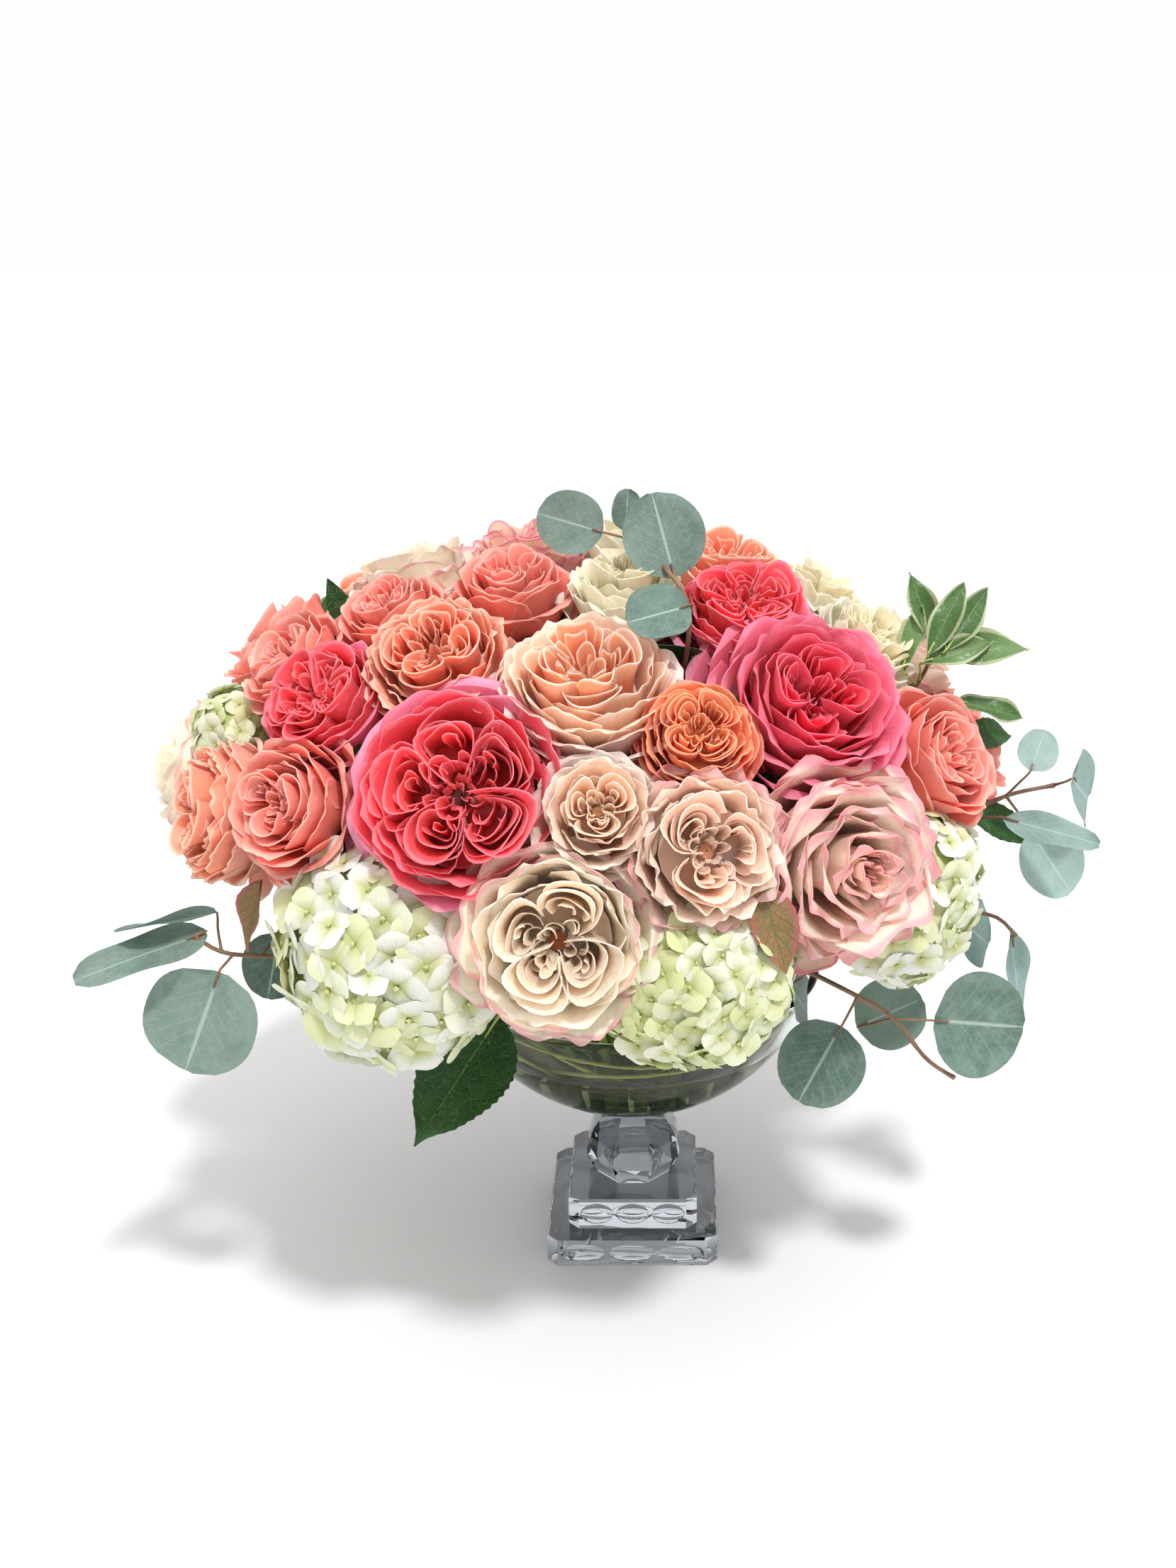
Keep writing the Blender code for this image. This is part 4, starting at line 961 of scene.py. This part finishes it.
print("stage: roses")
sepalForm = {"count": 5, "length": 0.62, "width": 0.2, "open": 0.34}  # shares of the bloom's radius
sepalPile, sepalRng = SheetPile(), np.random.default_rng(900)
for seed, (name, bloom) in enumerate(blooms.items()):
    size, recipe = bloom[2], bloom[7]
    if recipe == "hydrangea":
        continue
    base, facing = behindBloom(name, "heart")
    axes = turnedTo(facing)
    place = Matrix.Translation(base) @ axes.to_4x4()
    piece = makeRose(name + "_petals", recipe, size, place, petalMaterials[recipe], 40 + seed)
    finishPiece(piece, "petals_" + name.split("_")[1], name)
    radius = size / 2 * mm
    reach, opening = radius * sepalForm["length"], sepalForm["open"]
    for i in range(sepalForm["count"]):  # green sepals that spread under the bloom
        turn = 2 * math.pi * (i + sepalRng.uniform(-0.1, 0.1)) / sepalForm["count"]
        outward = axes @ Vector((math.cos(turn), math.sin(turn), opening)).normalized()
        under = (axes @ Vector((math.cos(turn) * opening, math.sin(turn) * opening, -1))).normalized()
        middle = base - facing * 1.5 * mm + outward * radius * sepalForm["length"] * 0.5
        leafBlade(sepalPile, sepalRng, "long", middle, outward, under, reach, radius * sepalForm["width"])
finishPiece(sepalPile.object("rose_sepals", leafMaterials["garden"]), "leaves_green")

# A mottled leaf and a brown one between the blooms, and green tips under the crown:
# centre, along, facing, length, width, finish
looseLeaves = {
    "mottled_leaf_front": ((66, -176, 262), (0.25, -0.2, -1), (14, 20), 40, 24, "bronze"),
    "brown_leaf_left": ((-172, -126, 246), (-0.5, -0.2, -0.8), (-50, 10), 38, 22, "bronze"),
    "green_leaf_right": ((188, -46, 262), (0.9, -0.2, -0.35), (20, 30), 46, 20, "garden"),
    "green_leaf_shoulder": ((186, -16, 300), (0.8, -0.1, 0.2), (40, 30), 34, 18, "garden"),
}
for number, (name, (centre, along, facing, length, width, finish)) in enumerate(looseLeaves.items()):
    leaf, normal = SheetPile(), direction(*facing)
    leafBlade(leaf, np.random.default_rng(700 + number), "pointed", Vector(centre) * mm,
              flatten(Vector(along), normal), normal, length * mm, width * mm)
    finishPiece(leaf.object(name, leafMaterials[finish]), "leaves_green")


def closedMesh(name, points, faces):
    # a mesh with its faces turned outwards
    mesh = bpy.data.meshes.new(name)
    mesh.from_pydata(points, [], faces)
    turned = bmesh.new()
    turned.from_mesh(mesh)
    bmesh.ops.recalc_face_normals(turned, faces=turned.faces)
    turned.to_mesh(mesh)
    turned.free()
    return mesh


def meshOf(form, name):
    mesh = bpy.data.meshes.new(name)
    form.to_mesh(mesh)
    form.free()
    return mesh


floretForm = {"widths": (0.10, 0.50, 0.55, 0.26), "cols": 4, "sepals": 4, "bead": 0.11}  # in radii


def makeFloret(size):
    # four rounded sepals round a small bead, a few dozen faces in all
    points, faces, up, across = [], [], [], []
    rows, cols, bead = len(floretForm["widths"]), floretForm["cols"], floretForm["bead"]
    for k in range(floretForm["sepals"]):
        ct, st = math.cos(k * math.pi / 2), math.sin(k * math.pi / 2)
        first = len(points)
        for i, j in itertools.product(range(rows), range(cols)):
            v, s = i / (rows - 1), -1 + 2 * j / (cols - 1)
            x = 0.05 + 0.95 * (v - 0.10 * abs(s) ** 2 * (v > 0.9))
            y = s * floretForm["widths"][i]
            z = 0.10 * (1 - s * s) * math.sin(math.pi * min(1, v * 0.9 + 0.1)) + 0.16 * v - 0.10 * v * v
            z = z + (0.05 if k % 2 else 0) * v + 0.05 * s * v  # every second sepal lies higher
            points.append(((x * ct - y * st) * size, (x * st + y * ct) * size, z * size))
            up.append(v)
            across.append(s)
        at = lambda i, j: first + i * cols + j
        faces += [(at(i, j), at(i + 1, j), at(i + 1, j + 1), at(i, j + 1))
                  for i, j in itertools.product(range(rows - 1), range(cols - 1))]
        faces += [(at(0, 0), at(0, 1), at(0, 2), at(0, 3), at(1, 3), at(1, 0)),
                  (at(1, 0), at(1, 3), at(2, 3), at(2, 0)),
                  (at(2, 0), at(2, 3), at(3, 3), at(3, 2), at(3, 1), at(3, 0))]
    first = len(points)
    points += [(0, 0, 0.24 * size), (0, 0, 0)]
    for a in range(4):
        b, turn = (a + 1) % 4, a * math.pi / 2
        points.append((bead * size * math.cos(turn), bead * size * math.sin(turn), 0.12 * size))
        faces += [(first, first + 2 + a, first + 2 + b), (first + 1, first + 2 + b, first + 2 + a)]
    mesh = closedMesh("floret", points, faces)
    for label, values in (("up", up), ("across", across)):
        setAttribute(mesh, label, values + [0.0] * 6)
    mesh.shade_smooth()
    return addObject("floret", mesh)


def ballMesh(matrix, lumps, seed):
    ball = bmesh.new()
    bmesh.ops.create_icosphere(ball, subdivisions=4, radius=1)
    rng = np.random.default_rng(seed)
    centres = [Vector(rng.normal(size=3)).normalized() for _ in range(9)]
    for vertex in ball.verts:
        near = max(c.dot(vertex.co.normalized()) for c in centres)
        vertex.co *= 1 + lumps * (near - 0.85)
    mesh = meshOf(ball, "ball")
    mesh.transform(matrix)
    return mesh


print("stage: hydrangeas and inner leaves")
scatterTree = makeScatterTree()
innerFoliage = {"share": (0.74, 0.74, 0.60), "lift": 22, "length": 46, "width": 26, "spacing": 15,
                "tilt": 0.95}
leafLength, leafWidth = innerFoliage["length"] * mm, innerFoliage["width"] * mm
leafPile = SheetPile()
t, s = sheetGrid(6, 3, 0.01, 0.99)
half = leafOutlines["pointed"](t) * leafWidth / 2
blade = np.stack([(t - 0.3) * leafLength, s * half, np.abs(s) * half * 0.4 - 0.006 * t * t], axis=2)
leafPile.add(blade[:, ::-1], 0.5 * mm, t, 0.5)
leafShape = leafPile.object("leafShape", leafMaterials["garden"])
innerRadii = [r * share * mm for r, share in zip(shape["domeRadii"], innerFoliage["share"])]
domeScale = Matrix.Diagonal(innerRadii + [1])
domeMiddle = (Vector(shape["domeCentre"]) + Vector((0, 0, innerFoliage["lift"]))) * mm
filler = grow("inner_foliage", ballMesh(Matrix.Translation(domeMiddle) @ domeScale, 0.0, 5), scatterTree, {
    "Shape": leafShape, "Spacing": innerFoliage["spacing"] * mm, "Tilt": innerFoliage["tilt"],
    "Smallest": 0.7, "Largest": 1.1, "Seed": 5, "Core": 0.86, "Core centre": domeMiddle, "Material": leafMaterials["garden"],
    "Core material": leafMaterials["garden"]})
finishPiece(filler, "leaves_green")
bpy.data.objects.remove(leafShape)

# Diameter of a floret and its spacing in millimetres, and the finish of each head
hydrangeaLooks = {
    "hydrangea_left": (27, 12.6, "white"), "hydrangea_front": (20, 9.2, "lime"),
    "hydrangea_right": (21, 9.8, "white"), "hydrangea_far_left": (16, 7.4, "lime"),
    "hydrangea_back_right": (23, 10.6, "white"), "hydrangea_back": (24, 11.2, "white"),
    "hydrangea_back_left": (22, 10.2, "lime"),
}
headForm = {"inset": 3, "flatness": 0.86, "lumps": 0.16, "tilt": 0.42, "core": 0.92}
for seed, (name, (floretSize, spacing, finish)) in enumerate(hydrangeaLooks.items()):
    centre, facing = behindBloom(name, "heart")
    radius = (blooms[name][2] / 2 - headForm["inset"]) * mm
    squash = Matrix.Diagonal((radius, radius, radius * headForm["flatness"], 1))
    place = Matrix.Translation(centre) @ turnedTo(facing).to_4x4() @ squash
    floret = makeFloret(floretSize / 2 * mm)
    piece = grow(name + "_florets", ballMesh(place, headForm["lumps"], seed), scatterTree, {
        "Shape": floret, "Spacing": spacing * mm, "Tilt": headForm["tilt"], "Smallest": 0.82, "Largest": 1.12,
        "Seed": 11 + seed, "Core": headForm["core"], "Core centre": centre,
        "Material": hydrangeaMaterials[finish], "Core material": floretHeart})
    finishPiece(piece, "florets", name)
    bpy.data.objects.remove(floret)

print("stage: glass, water and willow")
bowlForm = {"outside": 106, "inside": 102, "centre": 189, "rim": 165, "bottom": 83, "seat": 19, "sides": 112,
            "steps": 26}


def lathe(name, profile, sides, material):
    # a closed solid turned round the upright axis: the profile starts and ends on the axis, in millimetres
    points, faces, rows = [], [], []
    for radius, height in profile:
        count = sides if radius else 1
        rows.append([len(points) + i % count for i in range(sides)])
        turns = [2 * math.pi * i / sides for i in range(count)]
        points += [(radius * mm * math.cos(a), radius * mm * math.sin(a), height * mm) for a in turns]
    for low, high in zip(rows, rows[1:]):
        for i in range(sides):
            j = (i + 1) % sides
            faces.append(list(dict.fromkeys((low[i], low[j], high[j], high[i]))))
    return addObject(name, closedMesh(name, points, faces), material, 40)


def ballProfile(radius, low, high, steps):
    first = math.asin(max(-1, (low - bowlForm["centre"]) / radius))
    last = math.asin((high - bowlForm["centre"]) / radius)
    angles = [first + (last - first) * i / steps for i in range(steps + 1)]
    return [(radius * math.cos(a), bowlForm["centre"] + radius * math.sin(a)) for a in angles]


outer, inner, rim = bowlForm["outside"], bowlForm["inside"], bowlForm["rim"]
seatJoin = bowlForm["centre"] - math.sqrt(outer**2 - bowlForm["seat"] ** 2)
outside = ballProfile(outer, seatJoin, rim - 1.5, bowlForm["steps"])
inside = ballProfile(inner, bowlForm["centre"] - inner, rim - 1.5, bowlForm["steps"])
inside[0] = (0, inside[0][1])
middle = (outside[-1][0] + inside[-1][0]) / 2
turns = [math.pi * (1 - k / 6) for k in range(7)]
lip = [(middle + 2.4 * math.cos(a), rim - 0.6 + 2.0 * math.sin(a)) for a in turns]
profile = [(0, bowlForm["bottom"]), (bowlForm["seat"] - 1, bowlForm["bottom"]), *outside, *reversed(lip),
           *reversed(inside)]
finishPiece(lathe("bowl_clear_glass", profile, bowlForm["sides"], bowlGlass), "glass", "glass_bowl")

waterTop, waterReach = shape["waterLevel"], inner + 0.25
side = ballProfile(waterReach, bowlForm["centre"] - waterReach, waterTop - 0.6, 22)
side[0] = (0, side[0][1])
edge = side[-1][0]
surface = [(edge + 0.4, waterTop + 0.8), (edge - 1.2, waterTop + 0.1), (edge - 4, waterTop - 0.3),
           (edge * 0.5, waterTop - 0.4), (0, waterTop - 0.4)]
finishPiece(lathe("bowl_water", [*side, *surface], bowlForm["sides"], vaseWater), "water", "water")

# Sides and heights of the two plates, and the bell's radii with how far each lies below its top
pedestalForm = {
    "foot": (95, 0, 16), "step": (72, 16, 35), "corner": 6, "edge": 1.4, "bellTurn": 22.5, "bellSides": 8,
    "bell": ((18, 0), (16, 5), (17, 9), (20, 13), (24, 19), (27, 25), (28.4, 31), (28, 36), (25, 42)),
    "bellFoot": 21, "ovals": 3, "ovalDepth": 1.6,
}


def cutPlate(side, low, high):
    plate = bmesh.new()
    bmesh.ops.create_cube(plate, size=1)
    bmesh.ops.scale(plate, vec=(side * mm, side * mm, (high - low) * mm), verts=plate.verts)
    bmesh.ops.translate(plate, vec=(0, 0, (low + high) / 2 * mm), verts=plate.verts)
    upright = [e for e in plate.edges if abs(e.verts[0].co.z - e.verts[1].co.z) > (high - low) / 2 * mm]
    bmesh.ops.bevel(plate, geom=upright, offset=pedestalForm["corner"] * mm, segments=1, affect="EDGES")
    return addObject("plate", meshOf(plate, "plate"))


def addModifier(target, kind, **settings):
    modifier = target.modifiers.new(kind.lower(), kind)
    for label, value in settings.items():
        setattr(modifier, label, value)


def makePedestal():
    # two stacked plates and an eight-sided bell, joined into one block of crystal with polished edges
    cutters = bpy.data.collections.new("cutters")
    bpy.context.scene.collection.children.link(cutters)
    side, low, high = pedestalForm["step"]
    block, step = cutPlate(*pedestalForm["foot"]), cutPlate(side, low - 2, high)
    top = bowlForm["bottom"] - 0.35
    bellProfile = [(0, top), *((radius, top - drop) for radius, drop in pedestalForm["bell"]),
                   (pedestalForm["bellFoot"], high - 1), (0, high - 1)]
    bell = lathe("bell", bellProfile, pedestalForm["bellSides"], crystal)
    bell.data.transform(Matrix.Rotation(math.radians(pedestalForm["bellTurn"]), 4, "Z"))
    for other in (step, bell):
        addModifier(block, "BOOLEAN", operation="UNION", solver="EXACT", object=other)
    for side, low, high in (pedestalForm["foot"], pedestalForm["step"]):
        half = (side / 2 - pedestalForm["corner"]) / pedestalForm["ovals"]
        depth = pedestalForm["ovalDepth"] * mm
        form = Matrix.Diagonal((half * 0.92 * mm, depth, (high - low) * 0.34 * mm, 1))
        for face, k in itertools.product(range(4), (-1, 0, 1)):  # shallow ovals ground into each side
            lens = bmesh.new()
            bmesh.ops.create_uvsphere(lens, u_segments=24, v_segments=12, radius=1)
            place = Matrix.Translation((k * half * 2 * mm, -side / 2 * mm, (low + high) / 2 * mm))
            turned = Matrix.Rotation(face * math.pi / 2, 4, "Z") @ place @ form
            bmesh.ops.transform(lens, matrix=turned, verts=lens.verts)
            cutters.objects.link(bpy.data.objects.new("oval", meshOf(lens, "oval")))
    addModifier(block, "BOOLEAN", operation="DIFFERENCE", solver="EXACT", operand_type="COLLECTION",
                collection=cutters)
    addModifier(block, "BEVEL", width=pedestalForm["edge"] * mm, segments=2, limit_method="ANGLE",
                angle_limit=math.radians(40))
    mesh = plainMesh(block, "pedestal_crystal")
    for old in (step, bell, *cutters.objects):
        bpy.data.objects.remove(old)
    bpy.data.collections.remove(cutters)
    mesh.materials.clear()
    return addObject("pedestal_crystal", mesh, crystal, 20)


finishPiece(makePedestal(), "glass", "glass_pedestal")

# Curly willow against the glass: height, start azimuth, turn, rise, depth inside the glass
twigs = {
    "willow_twig_upper": ((126, 150, 250, 14, 2.6), (150, -70, 150, -16, 3.5), (143, -35, 120, 16, 6)),
    "willow_twig_lower": ((110, -60, 290, 10, 2.6), (132, -60, 90, -26, 4), (138, 20, 70, 24, 3),
                          (146, -50, 60, -44, 8)),
}
for number, (name, arcs) in enumerate(twigs.items()):
    routes = []
    for height, first, turn, rise, depth in arcs:
        route = []
        for i in range(turn // 8 + 1):
            t = i / (turn // 8)
            z = height + rise * (t - 0.5) + math.sin(t * math.pi * 3) * 1.5
            out = math.sqrt(inner**2 - (z - bowlForm["centre"]) ** 2) - depth
            route.append(direction(first + turn * t, 0) * out * mm + Vector((0, 0, z * mm)))
        routes.append(route)
    growTubes(name + "_bark", routes, "willow", 3 + number, willowBark, "willow", name)

print("stage: studio")
studio = {"floor": (0.76, 0.76, 0.76), "floorSize": 30, "drop": 0.4, "key": 2.1, "keySoftness": 6.5,
          "keyPlace": (0.5, -1.0, 2.0), "wall": 0.30, "sky": 1.26, "back": 0.985}
floorMesh = bpy.data.meshes.new("studio_floor")
reach, drop = studio["floorSize"], -studio["drop"] * mm
corners = [(x * reach, y * reach, drop) for x, y in ((-1, -1), (1, -1), (1, 1), (-1, 1))]
floorMesh.from_pydata(corners, [], [(0, 1, 2, 3)])
paper, tree = newMaterial("studio paper")
grain = noiseNode(tree, objectPoint(tree), 2.0, 3.0)
colour = mixNode(tree, grain, studio["floor"], tuple(c * 1.02 for c in studio["floor"]))
finishMaterial(paper, {"Base Color": colour, "Roughness": 0.7, "Specular IOR Level": 0.2})
addObject("studio_floor", floorMesh, paper)

world = bpy.data.worlds.new("studio")
bpy.context.scene.world = world
world.use_nodes = True
tree = world.node_tree
cameraRay = addNode(tree, "ShaderNodeLightPath").outputs["Is Camera Ray"]
upward = addNode(tree, "ShaderNodeSeparateXYZ", {0: addNode(tree, "ShaderNodeTexCoord").outputs["Generated"]})
glow = rangeNode(tree, upward.outputs[2], 0.12, 0.62, studio["wall"], studio["sky"])
hidden = mathNode(tree, "MULTIPLY", mathNode(tree, "SUBTRACT", 1.0, cameraRay), glow)
background = tree.nodes["Background"].inputs
feed(tree, background["Color"], (1, 1, 1))
feed(tree, background["Strength"], weigh(tree, hidden, (cameraRay, studio["back"])))

lamp = bpy.data.lights.new("key", "SUN")
lamp.energy = studio["key"]
lamp.angle = math.radians(studio["keySoftness"])
key = bpy.data.objects.new("key", lamp)
key.location = studio["keyPlace"]
key.rotation_euler = key.location.to_track_quat("Z", "Y").to_euler()
bpy.context.scene.collection.objects.link(key)

view = {"place": (0.0216, -0.795, 0.541), "pitch": 19.0, "lens": 36.36, "shift": -0.053}
lensData = bpy.data.cameras.new("camera")
lensData.lens = view["lens"]
lensData.sensor_width = 36
lensData.shift_x = view["shift"]
lensData.clip_start = 0.01
camera = bpy.data.objects.new("camera", lensData)
camera.location = view["place"]
camera.rotation_euler = (math.radians(90 - view["pitch"]), 0, 0)
bpy.context.scene.collection.objects.link(camera)
bpy.context.scene.camera = camera
bpy.context.scene.view_settings.view_transform = "Standard"

print("stage: finished")
